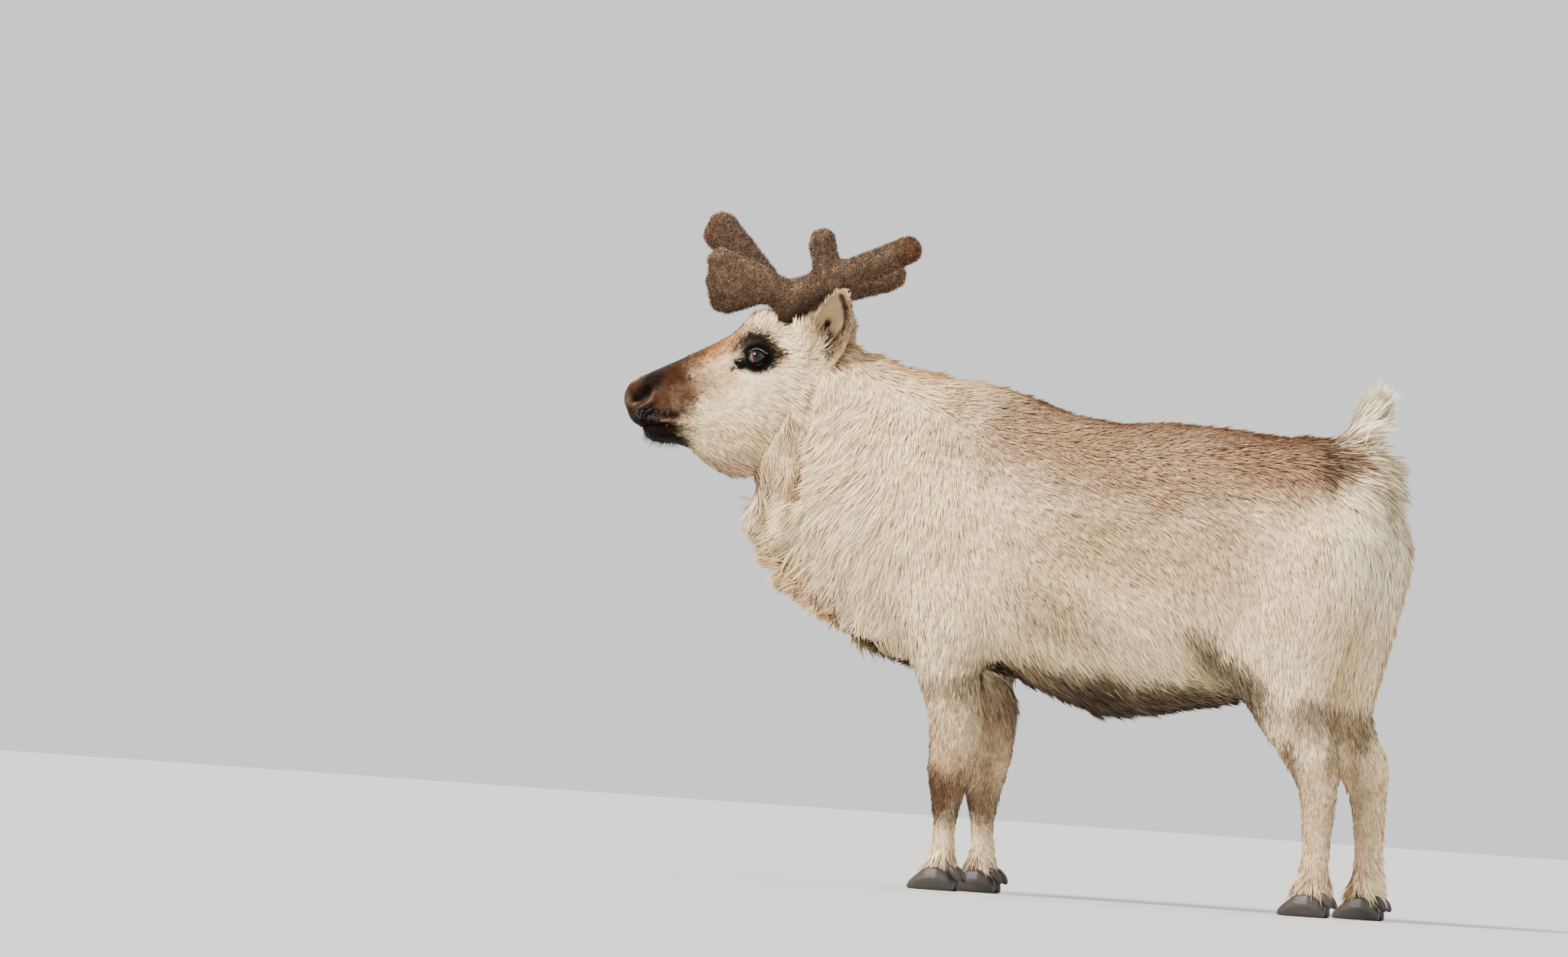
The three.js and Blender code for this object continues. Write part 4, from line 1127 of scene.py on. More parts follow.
def fan_triangles(faces: Sequence[Sequence[int]]) -> tuple[Array, Array]:
    """Splits faces into triangles.

    Args:
        faces: Faces of three or four corners.

    Returns:
        The triangles, and for each the three loops that its corners are.
    """
    triangles, loops, start = [], [], 0
    for face in faces:
        for k in range(1, len(face) - 1):
            triangles.append((face[0], face[k], face[k + 1]))
            loops.append((start, start + k, start + k + 1))
        start += len(face)
    return np.array(triangles), np.array(loops)


def point_normals(points: Array, triangles: Array) -> Array:
    """Outward normals at points, each the mean of its triangles'."""
    a, b, c = (points[triangles[:, k]] for k in range(3))
    face = np.cross(b - a, c - a)
    total = np.zeros_like(points)
    for k in range(3):
        np.add.at(total, triangles[:, k], face)
    return unit(total)


# The skin


@dataclass(frozen=True)
class FaceForm:
    """A soft swelling or hollow of the head, the same on both sides, in millimetres.

    A positive amount stands out, a negative one sinks in.
    """

    place: Triple
    size: Triple
    amount: float
    slope: float = 0.0

    def height(self, local: Array) -> Array:
        """How far the surface moves at places of the head's frame, in millimetres."""
        return self.amount * np.exp(-ellipsoid(local, self.place, self.size, self.slope))


@dataclass(frozen=True)
class Groove:
    """A line drawn on both sides of the head, in side view."""

    line: tuple[Pair, ...]
    width: float
    depth: float

    def height(self, local: Array) -> Array:
        """How far the surface moves at places of the head's frame, in millimetres."""
        away = line_distance(local, self.line)
        return -self.depth * np.exp(-((away / self.width) ** 2))


@dataclass
class Skin:
    """One skin over body, head and limbs, with the ears and lids let into it."""

    coat: CoatMap
    voxel: float = 0.0084
    face_voxel: float = 0.002
    fuse: float = 0.001
    lock_radius: float = 0.026
    tail: tuple[Triple, ...] = (
        (272, 745, 24), (292, 800, 22), (316, 846, 17), (334, 874, 10)
    )
    throat: tuple[tuple[float, float, float, float], ...] = (
        (-652, 50, 832, 12), (-662, 50, 760, 8), (-664, 52, 700, 6), (-652, 50, 640, 4)
    )
    throat_radius: float = 38.0
    soften: float = 0.009
    face_soften: float = 0.0045
    limbs: tuple[str, ...] = (
        "front_left_forearm", "front_right_forearm", "front_left_cannon", "front_right_cannon",
        "hind_left_thigh", "hind_right_thigh", "hind_left_cannon", "hind_right_cannon",
    )
    trunk: tuple[str, ...] = ("torso", "neck", "head")
    forms: tuple[FaceForm, ...] = (
        FaceForm((331, 38, 806), (17, 14, 9.5), -17, -34),
        FaceForm((324, 40, 821), (20, 12, 6), 3.0, -34),
        FaceForm((322, 40, 788), (18, 12, 6), 2.2, -30),
        FaceForm((350, 0, 800), (14, 5, 22), -1.6, 20),
        FaceForm((160, 66, 858), (22, 18, 5), -2.5, 30),
        FaceForm((136, 62, 905), (30, 18, 8), 3.0, -14),
        FaceForm((150, 74, 838), (46, 20, 9), 2.4, 8),
        FaceForm((215, 52, 830), (32, 18, 16), -2.0, 6),
        FaceForm((90, 80, 790), (34, 24, 44), 3.0, 0),
        FaceForm((236, 0, 884), (66, 24, 14), 7.0, -26),
        FaceForm((136, 0, 938), (36, 44, 26), 13.0, -20),
        FaceForm((62, 54, 930), (24, 24, 24), 8.0, 0),
        FaceForm((64, 84, 766), (30, 26, 62), 7.0, 0),
        FaceForm((340, 0, 824), (22, 28, 14), 6.0, -20),
        FaceForm((358, 0, 800), (12, 26, 16), 4.0, 0),
        FaceForm((290, 42, 768), (30, 16, 5), 2.4, 2),
        FaceForm((300, 30, 744), (26, 16, 6), 1.8, 0),
        FaceForm((258, 48, 758), (12, 14, 10), -1.6, 0),
    )
    grooves: tuple[Groove, ...] = (
        Groove(
            ((244, 762), (252, 757), (264, 754.5), (292, 755), (312, 755), (330, 755), (350, 757)), 2.0, 4.0
        ),
    )
    steps: int = 6
    push: float = 0.006

    def trunk_field(self) -> DistanceField:
        """Body, head and limbs as one smooth form without the locks of hair."""
        low, high = cad_box
        grid = DistanceField.spanning(np.array(low) - 0.03, (high.x + 0.03, high.y + 0.03, 1.02), self.voxel)
        reach = 6 * self.voxel
        trunk = grid.to_nodes(self.trunk, reach).redistanced(self.fuse, reach)
        core = trunk.redistanced(-self.lock_radius, reach)
        core = core.like(core.values - self.lock_radius)
        flesh = grid.to_nodes(("torso", "head", *self.limbs), reach).joined(core)
        cores = self.core_distance(grid.places(np.ones_like(grid.values, bool)))
        cores = grid.like(np.minimum(cores, reach).reshape(grid.values.shape))
        fused = flesh.joined(cores).redistanced(self.fuse, reach)
        return fused.like(fused.values + self.fuse).blurred(self.soften)

    def core_distance(self, points: Array) -> Array:
        """Distances to the flesh of the raised tail and the soft fill behind the jaw, in metres."""
        tail = STANCE.body([(x, 0, z) for x, z, _ in self.tail])
        best = chain_distance(points, tail, [radius * MM for _, _, radius in self.tail])
        radii = [self.throat_radius * MM] * len(self.throat)
        for side in (1, -1):
            line = STANCE.body([(x, y * side - lean, z) for x, y, z, lean in self.throat])
            best = np.minimum(best, chain_distance(points, line, radii))
        return best

    def face_field(self) -> DistanceField:
        """The head on a finer lattice, with the forms of the face."""
        low, high = (np.array(corner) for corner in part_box("head"))
        grid = DistanceField.spanning(low - 0.02, high + [0.05, 0.02, 0.02], self.face_voxel)
        reach = 12 * self.face_voxel
        head = grid.to_nodes(("head",), reach).redistanced(self.fuse, reach)
        head = head.like(head.values + self.fuse).blurred(self.face_soften)
        near = np.abs(head.values) < reach * 0.9
        places = head.places(near)
        local = STANCE.in_head(places)
        height = sum(form.height(local) for form in (*self.forms, *self.grooves)) * MM
        values = head.values.copy()
        values[near] -= height.astype(np.float32)
        return head.like(values)

    def sunk(self, surface: DistanceField) -> DistanceField:
        """A field whose surface lies under the coat by its depth."""
        near = np.abs(surface.values) < 5 * self.voxel
        values = surface.values.copy()
        places = surface.places(near)
        values[near] += self.coat.depth(places).astype(np.float32)
        return surface.like(values)

    def refined(self, points: Array, triangles: Array, quads: Array) -> tuple[Array, list]:
        """The mesh with smaller faces on the head, smaller still from the eyes forward, and the smallest
        about nose and mouth.
        """
        mesh = faceted(points, [*triangles.tolist(), *quads.tolist()], "skin_draft")
        made = bmesh.new()
        made.from_mesh(mesh)

        def head(p: Array) -> Array:
            """The whole head."""
            return (p[:, 0] > 20) & (p[:, 2] > 680)

        def front(p: Array) -> Array:
            """The head from the eyes on."""
            return head(p) & (p[:, 0] > 120)

        def detail(p: Array) -> Array:
            """About the nostrils and the mouth."""
            nose = (p[:, 0] > 306) & (np.abs(p[:, 2] - 805) < 26)
            mouth = (p[:, 0] > 238) & (np.abs(p[:, 2] - 755) < 10)
            return nose | mouth

        for test in (head, front, detail):
            made.verts.ensure_lookup_table()
            chosen = test(STANCE.in_head(np.array([v.co for v in made.verts])))
            edges = [e for e in made.edges if chosen[e.verts[0].index] and chosen[e.verts[1].index]]
            bmesh.ops.subdivide_edges(made, edges=edges, cuts=1, use_grid_fill=True)
            made.verts.index_update()
        bmesh.ops.triangulate(made, faces=[f for f in made.faces if len(f.verts) > 4])
        points = np.array([v.co for v in made.verts])
        faces = [[v.index for v in f.verts] for f in made.faces]
        made.free()
        bpy.data.meshes.remove(mesh)
        return points, faces

    def fitted(self, points: Array, faces: list, body: DistanceField, face: DistanceField) -> Array:
        """Draws the head's part of the mesh onto the fine field, with evenly spread points.

        Args:
            points: The mesh's points.
            faces: Its faces.
            body: The whole animal's field.
            face: The head's finer field.

        Returns:
            The moved points.
        """
        local = STANCE.in_head(points)
        chosen = np.flatnonzero((local[:, 0] > -10) & (local[:, 2] > 640))
        pairs = np.array([(f[k], f[(k + 1) % len(f)]) for f in faces for k in range(len(f))])
        pairs = pairs[np.isin(pairs[:, 0], chosen)]
        moved = points.copy()
        for step in range(self.steps):
            if step < self.steps - 1:
                total = np.zeros_like(moved)
                np.add.at(total, pairs[:, 0], moved[pairs[:, 1]])
                count = np.bincount(pairs[:, 0], minlength=len(moved))[chosen, None]
                mean = total[chosen] / np.maximum(count, 1)
                moved[chosen] += 0.5 * (mean - moved[chosen])
            here = moved[chosen]
            share = smoothstep(15, 60, STANCE.in_head(here)[:, 0])
            depth = self.coat.depth(here)
            distance = mix(body.at(here), face.at(here), share) + depth
            outward = unit(mix(body.outward(here), face.outward(here), share[:, None]))
            moved[chosen] = here - outward * np.clip(distance, -self.push, self.push)[:, None]
        return moved

    def build(self) -> SkinMesh:
        """The whole skin with the growth of its hair."""
        body, face = self.trunk_field(), self.face_field()
        points, faces = self.refined(*self.sunk(body).surface())
        points = self.fitted(points, faces, body, face)
        skin = SkinMesh(points, faces, Growth.on(points, self.coat))
        height = skin_height(face, self.coat)
        for side in (1, -1):
            skin = skin.joined(Lids().build(side, height)).joined(Ear().build(side))
        return skin


def skin_height(face: DistanceField, coat: CoatMap) -> Callable[[Array, Array], Array]:
    """A measure of where the head's skin lies along lines.

    Args:
        face: The head's finer field.
        coat: The coat, which covers the skin.

    Returns:
        A function of the lines' starts and directions that gives the distance along each.
    """

    def measure(starts: Array, directions: Array) -> Array:
        """The farthest place along each line that is still in the skin."""
        best = np.full(len(starts), -0.01)
        for reach in np.linspace(-0.01, 0.05, 61):
            here = starts + directions * reach
            inside = face.at(here) + coat.depth(here) < 0
            best = np.where(inside, reach, best)
        return best

    return measure


@dataclass
class SkinMesh:
    """The skin's mesh with the growth of hair at each of its points."""

    points: Array
    faces: list
    growth: Growth
    triangles: Array = field(init=False)
    loops: Array = field(init=False)
    normals: Array = field(init=False)
    unwrap: Array = field(init=False)

    def __post_init__(self) -> None:
        """Works out the triangles and normals."""
        self.triangles, self.loops = fan_triangles(self.faces)
        self.normals = point_normals(self.points, self.triangles)

    def joined(self, other: SkinMesh) -> SkinMesh:
        """This skin with another mesh let into it."""
        start = len(self.points)
        faces = [*self.faces, *([i + start for i in face] for face in other.faces)]
        points = np.concatenate([self.points, other.points])
        return SkinMesh(points, faces, self.growth.stacked(other.growth))

    def dress(self, name: str, markings: Markings, finish: HairFinish = HIDE) -> Object:
        """Makes the skin's object, with its colours and its unwrap.

        Args:
            name: The object's name.
            markings: The pattern of the coat.
            finish: The skin's material.

        Returns:
            The object.
        """
        mesh = faceted(self.points, self.faces, name)
        paint(mesh, np.concatenate([markings.colour(block) for block in np.array_split(self.points, 8)]))
        obj = add_object(name, mesh, finish.material())
        self.unwrap = unwrapped(obj)
        return obj

    def near(self, places: Array, margin: float = 0.02) -> tuple[Array, Array]:
        """The skin's nearest points to places.

        Args:
            places: The places.
            margin: How far off they may be.

        Returns:
            The nearest points and their places on the unwrap.
        """
        box = (self.points > places.min(0) - margin) & (self.points < places.max(0) + margin)
        pool = np.flatnonzero(box.all(1))
        away = ((places[:, None] - self.points[pool][None]) ** 2).sum(-1)
        found = pool[away.argmin(1)]
        corner = np.zeros(len(self.points), int)
        corner[self.triangles.ravel()] = self.loops.ravel()
        return self.points[found], self.unwrap[corner[found]]


def unwrapped(obj: Object) -> Array:
    """Unwraps an object by its own shape and returns the place of each corner."""
    mesh = obj.data
    mesh.uv_layers.new(name=UNWRAP)
    bpy.context.view_layer.objects.active = obj
    obj.select_set(True)
    bpy.ops.object.mode_set(mode="EDIT")
    bpy.ops.mesh.select_all(action="SELECT")
    bpy.ops.uv.smart_project(angle_limit=math.radians(66), island_margin=0.001)
    bpy.ops.object.mode_set(mode="OBJECT")
    obj.select_set(False)
    uv = np.empty(len(mesh.loops) * 2)
    mesh.uv_layers[UNWRAP].data.foreach_get("uv", uv)
    return uv.reshape(-1, 2)


def paint(mesh: Mesh, colours: Array) -> None:
    """Gives each point of a mesh its colour."""
    attribute = mesh.color_attributes.new(name=MARKING, type="FLOAT_COLOR", domain="POINT")
    wide = np.concatenate([colours, np.ones((len(colours), 1))], axis=1)
    attribute.data.foreach_set("color", wide.astype(np.float32).ravel())


@dataclass(frozen=True)
class Lids:
    """The two lids of an eye as one ring of folds, in millimetres of the head's frame.

    Each row of the profile says how far it is out from the opening's edge, how much it follows
    the skin rather than the ball, and how far it stands off them. Its hair, whose length and
    spacing are in metres, starts beyond the bare edge and is swept back.
    """

    centre: Triple = (134, 62, 877)
    radius: float = 20.0
    facing: Triple = (0.22, 1.0, 0.06)
    half_length: float = 15.5
    half_height: float = 11.0
    slope: float = -10.0
    corner: float = 4.5
    stations: int = 84
    bare: float = 8.0
    sweep: float = 0.8
    hair: float = 0.0045
    spacing: float = 0.0022
    profile: tuple[Triple, ...] = (
        (-0.3, 0.0, -1.5), (0.0, 0.0, 0.5), (0.4, 0.0, 1.8), (1.4, 0.0, 2.7), (3.0, 0.08, 2.9),
        (4.6, 0.3, 1.6), (6.0, 0.5, 2.6), (8.2, 0.75, 3.0), (11.0, 0.95, 1.5), (14.0, 1.0, 0.9),
        (18.0, 1.0, -0.2), (22.0, 1.0, -2.5), (16.0, 1.0, -6.0), (6.0, 0.3, -5.0),
    )

    def axes(self, side: int) -> tuple[Array, Array, Array]:
        """Directions out of the eye, forwards and up, in the head's frame."""
        out = unit(np.array(self.facing) * [1, side, 1])
        up = unit(np.array([0, 0, 1.0]) - out * out[2])
        ahead = np.cross(out, up) * side
        c, s = math.cos(math.radians(self.slope)), math.sin(math.radians(self.slope))
        return out, ahead * c + up * s, up * c - ahead * s

    def opening(self, turn: Array) -> Array:
        """How far the edge of the opening is from the eye's axis, at angles from the front."""
        across = (np.abs(np.cos(turn)) / self.half_length) ** 1.75
        tall = (np.abs(np.sin(turn)) / self.half_height) ** 1.75
        front = self.corner * np.exp(-((np.angle(np.exp(1j * turn)) / 0.22) ** 2))
        rear = 1.5 * np.exp(-((np.angle(np.exp(1j * (turn - math.pi))) / 0.25) ** 2))
        return (across + tall) ** (-1 / 1.75) + front + rear

    def build(self, side: int, skin_at: Callable[[Array, Array], Array]) -> SkinMesh:
        """The ring of lids.

        Args:
            side: 1 for the animal's left, -1 for its right.
            skin_at: Measures how far out the skin is along lines.

        Returns:
            The mesh, closed on itself, with its short hair.
        """
        out, ahead, up = self.axes(side)
        centre = np.array(self.centre) * [1, side, 1]
        turn = np.linspace(0, 2 * math.pi, self.stations, endpoint=False)
        edge = self.opening(turn)
        direction = np.cos(turn)[:, None] * ahead + np.sin(turn)[:, None] * up
        outward = np.tile(STANCE.turn() @ out, (self.stations, 1))
        rows = []
        for offset, follow, rise in self.profile:
            wide = edge + offset
            ball = np.sqrt(np.maximum((self.radius + rise) ** 2 - wide**2, 0.0))
            start = STANCE.head(centre + direction * wide[:, None])
            skin = skin_at(start, outward) / MM + rise
            rows.append(start + outward * mix(ball, skin, follow)[:, None] * MM)
        points = np.concatenate(rows)
        faces = facing_out(points, lattice(len(rows), self.stations, closed=True).tolist())

        growth = Growth.on(points, CoatMap())
        away = np.tile(direction, (len(rows), 1)) @ STANCE.turn().T
        back = STANCE.turn() @ np.array([-1.0, 0, 0])
        growth.lie = unit(away + self.sweep * back)
        offset, _, rise = (np.repeat(column, self.stations) for column in zip(*self.profile))
        furred = (offset > self.bare) & (rise > -1)
        growth.length = np.where(furred, self.hair, 0.0)
        growth.spacing = np.where(furred, self.spacing, 1.0)
        return SkinMesh(points, faces, growth)


@dataclass(frozen=True)
class Ear:
    """An ear, a leaf rolled into a cup, in millimetres of the head's frame."""

    root: Triple = (34, 60, 872)
    rise: Triple = (-41, 44, 127)
    facing: Triple = (0.35, 1.0, 0.0)
    radius: float = 36.0
    places: tuple[float, ...] = (-0.2, 0.0, 0.29, 0.57, 0.8, 0.93, 1.0)
    shares: tuple[float, ...] = (0.6, 0.7, 0.93, 0.91, 0.65, 0.36, 0.1)
    flatten: float = 0.8
    bow: float = 6.0
    gape: Pair = (50.0, 150.0)
    wall: Pair = (4.0, 2.4)
    outer_hair: Pair = (7.0, 7.0)
    inner_hair: Pair = (5.0, 8.0)
    width: float = 0.0019
    spacing: float = 0.0025
    stance: Pair = (28.0, 12.0)
    stations: int = 40
    arc: int = 30

    def build(self, side: int) -> SkinMesh:
        """One ear with its hair.

        Args:
            side: 1 for the animal's left, -1 for its right.

        Returns:
            The closed mesh, its root sunk in the head.
        """
        root, rise = np.array(self.root), np.array(self.rise)
        axis = unit(rise)
        opening = np.array(self.facing)
        opening = unit(opening - axis * (opening @ axis))
        across = np.cross(axis, opening)
        rings, lies, lengths = [], [], []
        for t in np.linspace(self.places[0], 1.0, self.stations):
            radius = self.radius * np.interp(t, self.places, self.shares)
            gape = math.radians(np.interp(min(1.0, t * 1.6), (0, 1), self.gape))
            centre = root + rise * t - opening * self.bow * math.sin(max(t, 0) * math.pi)
            wall = np.interp(t, (0, 1), self.wall)
            k = np.arange(self.arc + 1) / self.arc
            turn = gape / 2 + (2 * math.pi - gape) * k
            round_ = opening * np.cos(turn)[:, None] * self.flatten + across * np.sin(turn)[:, None]
            taper = 0.35 + 0.65 * np.sin(math.pi * np.clip(k, 0.02, 0.98)) ** 0.35
            outer = centre + round_ * (radius + wall / 2 * taper)[:, None]
            inner = centre + round_ * (radius - wall / 2 * taper)[:, None]
            rings.append(np.concatenate([outer, inner[::-1]]))
            edge = np.abs(k - 0.5) * 2
            spread = unit(axis + across * np.sign(np.sin(turn))[:, None] * (edge**4)[:, None] * 0.5)
            inside = unit(axis + opening * 0.7)
            lies.append(np.concatenate([spread, np.tile(inside, (self.arc + 1, 1))]))
            outer = self.outer_hair[0] + self.outer_hair[1] * edge**3
            inner = self.inner_hair[0] + self.inner_hair[1] * edge**2
            lengths.append(np.concatenate([outer, inner[::-1]]) * (1 if 0.02 < t < 0.85 else 0.6))
        mirror = np.array([1, side, 1])
        count = len(rings[0])
        points = STANCE.head(np.concatenate(rings) * mirror)
        quads = lattice(self.stations, count)
        ends = []
        for base, flip in ((0, True), ((self.stations - 1) * count, False)):
            for k in range(self.arc):
                quad = [base + k, base + k + 1, base + count - 2 - k, base + count - 1 - k]
                ends.append(quad[::-1] if flip else quad)
        faces = facing_out(points, [*quads.tolist(), *ends])

        growth = Growth.on(points, CoatMap())
        growth.lie = (np.concatenate(lies) * mirror) @ STANCE.turn().T
        growth.length = np.concatenate(lengths) * MM
        values = (self.width, self.spacing, *self.stance, list(CoatPiece).index(CoatPiece.EARS))
        for name, value in zip(("width", "spacing", "root", "tip", "piece"), values):
            setattr(growth, name, np.full(len(points), value))
        return SkinMesh(points, faces, growth)


def facing_out(points: Array, faces: list) -> list:
    """The faces of a closed mesh, turned round where it is inside out."""
    triangles, _ = fan_triangles(faces)
    a, b, c = (points[triangles[:, k]] - points.mean(0) for k in range(3))
    inside_out = np.einsum("ij,ij->", a, np.cross(b, c)) < 0
    return [face[::-1] for face in faces] if inside_out else faces


def scattered(expected: Array, rng: np.random.Generator) -> tuple[Array, Array]:
    """Spreads points over triangles.

    Args:
        expected: How many points each triangle should have, which needn't be whole.
        rng: The random draws.

    Returns:
        For each point its triangle and the weights of the three corners.
    """
    whole = np.cumsum(expected)
    count = int(whole[-1])
    chosen = np.searchsorted(whole, (np.arange(count) + rng.random(count)) / count * whole[-1])
    chosen = np.minimum(chosen, len(expected) - 1)
    a, b = rng.random(count), rng.random(count)
    flip = a + b > 1
    a, b = np.where(flip, 1 - a, a), np.where(flip, 1 - b, b)
    return chosen, np.stack([1 - a - b, a, b], axis=1)


def areas(points: Array, triangles: Array) -> Array:
    """The triangles' areas."""
    a, b, c = (points[triangles[:, k]] for k in range(3))
    return np.linalg.norm(np.cross(b - a, c - a), axis=1) / 2


# Fine hairs


@dataclass
class Sprouts:
    """Fine stiff hairs that stand on points, grown by Geometry Nodes."""

    name: str
    material: Material
    radius: float
    sides: int = 3
    shade: Pair = (0.75, 1.15)

    def tree(self) -> tuple[NodeTree, dict[str, str]]:
        """The node tree that puts a pointed hair on each point.

        Returns:
            The tree, and its inputs' identifiers by name.
        """
        tree = bpy.data.node_groups.new(f"{self.name}_growth", "GeometryNodeTree")
        face = tree.interface
        face.new_socket("Roots", in_out="INPUT", socket_type="NodeSocketGeometry")
        names = {}
        for name, kind in (("Radius", "NodeSocketFloat"), ("Sides", "NodeSocketInt")):
            names[name] = face.new_socket(name, in_out="INPUT", socket_type=kind).identifier
        face.new_socket("Hairs", in_out="OUTPUT", socket_type="NodeSocketGeometry")
        kinds = {
            "start": "NodeGroupInput",
            "cone": "GeometryNodeMeshCone",
            "heading": "GeometryNodeInputNamedAttribute",
            "reach": "GeometryNodeInputNamedAttribute",
            "turn": "FunctionNodeAlignRotationToVector",
            "size": "ShaderNodeCombineXYZ",
            "points": "GeometryNodeMeshToPoints",
            "put": "GeometryNodeInstanceOnPoints",
            "real": "GeometryNodeRealizeInstances",
            "dress": "GeometryNodeSetMaterial",
            "end": "NodeGroupOutput",
        }
        nodes = {key: tree.nodes.new(kind) for key, kind in kinds.items()}
        nodes["cone"].fill_type = "NGON"
        for key, value in (("Radius Top", 0.0), ("Radius Bottom", 1.0), ("Depth", 1.0)):
            nodes["cone"].inputs[key].default_value = value
        for key, kind in (("heading", "FLOAT_VECTOR"), ("reach", "FLOAT")):
            nodes[key].data_type = kind
            nodes[key].inputs["Name"].default_value = key
        nodes["turn"].axis = "Z"
        nodes["dress"].inputs["Material"].default_value = self.material
        for source, output, target, socket in (
            ("start", "Sides", "cone", "Vertices"),
            ("heading", "Attribute", "turn", "Vector"),
            ("start", "Radius", "size", "X"),
            ("start", "Radius", "size", "Y"),
            ("reach", "Attribute", "size", "Z"),
            ("start", "Roots", "points", "Mesh"),
            ("points", "Points", "put", "Points"),
            ("cone", "Mesh", "put", "Instance"),
            ("turn", "Rotation", "put", "Rotation"),
            ("size", "Vector", "put", "Scale"),
            ("put", "Instances", "real", "Geometry"),
            ("real", "Geometry", "dress", "Geometry"),
            ("dress", "Geometry", "end", "Hairs"),
        ):
            tree.links.new(nodes[source].outputs[output], nodes[target].inputs[socket])
        return tree, names

    def grow(
        self, roots: Array, headings: Array, lengths: Array, colours: Array, unwrap: Array
    ) -> Object:
        """Grows the hairs.

        Args:
            roots: Where they stand.
            headings: Where they point.
            lengths: How long they are, in metres.
            colours: Their linear colours.
            unwrap: Their roots' places on the unwrap of what they stand on.

        Returns:
            The object, a plain mesh.
        """
        seed = bpy.data.meshes.new(f"{self.name}_roots")
        seed.from_pydata(roots.tolist(), [], [])
        seed.attributes.new("heading", "FLOAT_VECTOR", "POINT").data.foreach_set("vector", headings.ravel())
        seed.attributes.new("reach", "FLOAT", "POINT").data.foreach_set("value", lengths)
        obj = add_object(self.name, seed)
        grower = obj.modifiers.new("growth", "NODES")
        grower.node_group, names = self.tree()
        grower[names["Radius"]] = self.radius
        grower[names["Sides"]] = self.sides
        obj.update_tag()
        graph = bpy.context.evaluated_depsgraph_get()
        mesh = bpy.data.meshes.new_from_object(obj.evaluated_get(graph), depsgraph=graph)
        mesh.name = self.name
        obj.modifiers.remove(grower)
        obj.data = mesh
        bpy.data.meshes.remove(seed)

        each = len(mesh.vertices) // len(roots)
        owner = np.arange(len(mesh.vertices)) // each
        place = np.empty(len(mesh.vertices) * 3)
        mesh.vertices.foreach_get("co", place)
        along = np.linalg.norm(place.reshape(-1, 3) - roots[owner], axis=1) / lengths[owner]
        along = np.clip(along, 0, 1)
        paint(mesh, np.clip(colours[owner] * mix(*self.shade, along)[:, None], 0, 1))
        corner = np.empty(len(mesh.loops), np.int32)
        mesh.loops.foreach_get("vertex_index", corner)
        uv = unwrap[owner][corner] + SPAN * (along[corner, None] - 0.5)
        while mesh.uv_layers:
            mesh.uv_layers.remove(mesh.uv_layers[0])
        mesh.uv_layers.new(name=UNWRAP).data.foreach_set("uv", uv.astype(np.float32).ravel())
        mesh.polygons.foreach_set("use_smooth", np.ones(len(mesh.polygons), bool))
        return obj


# The coat


@dataclass(frozen=True)
class TuftShape:
    """The corners of a tuft of hair and the closed faces between them.

    Along is the share of the hair's length at each corner, across its share of the width, and
    shade the share of its colour, from root to tip, where the root is darker, partly for the
    underfur and partly as painted shade of the coat's depth. The first faces, as many as upper
    says, look away from the skin.
    """

    along: tuple[float, ...]
    across: tuple[float, ...]
    shade: tuple[float, ...]
    faces: tuple[Triple, ...]
    upper: int


TUFT = TuftShape(
    (0.0, 0.45, 0.45, 1.0), (0, -1, 1, 0), (0.0, 0.6, 0.6, 1.0),
    ((0, 2, 1), (1, 2, 3), (0, 1, 3), (0, 3, 2)), 2,
)
LOCK = TuftShape(
    (0.0, 0.3, 0.3, 0.68, 0.68, 1.0), (0, -0.9, 0.9, -0.8, 0.8, 0), (0.0, 0.45, 0.45, 0.8, 0.8, 1.0),
    ((0, 2, 1), (1, 2, 4), (1, 4, 3), (3, 4, 5), (0, 1, 3), (0, 3, 5), (0, 5, 4), (0, 4, 2)), 4,
)


def level(vectors: Array, normals: Array) -> Array:
    """Vectors without their share along the normals."""
    return vectors - normals * np.einsum("ij,ij->i", vectors, normals)[:, None]


@dataclass
class Roots:
    """The roots of tufts, with the skin's normals, the unwrap and the growth there."""

    places: Array
    normals: Array
    unwrap: Array
    growth: Growth

    def masked(self, mask: Array) -> Roots:
        """The roots that a mask picks."""
        kept = (values[mask] for values in (self.places, self.normals, self.unwrap))
        return Roots(*kept, self.growth.masked(mask))


@dataclass
class Tufts:
    """The tufts of one piece, with the middles of their clumps and the draws of clump and tuft."""

    piece: CoatPiece
    shape: TuftShape
    roots: Roots
    centre: Array
    sway: Array
    own: Array

    def spread(self, share: Pair, clump: int, tuft: int) -> Array:
        """What a draw of the clumps and one of the tufts add to a value."""
        return share[0] * self.sway[:, clump] + share[1] * self.own[:, tuft]


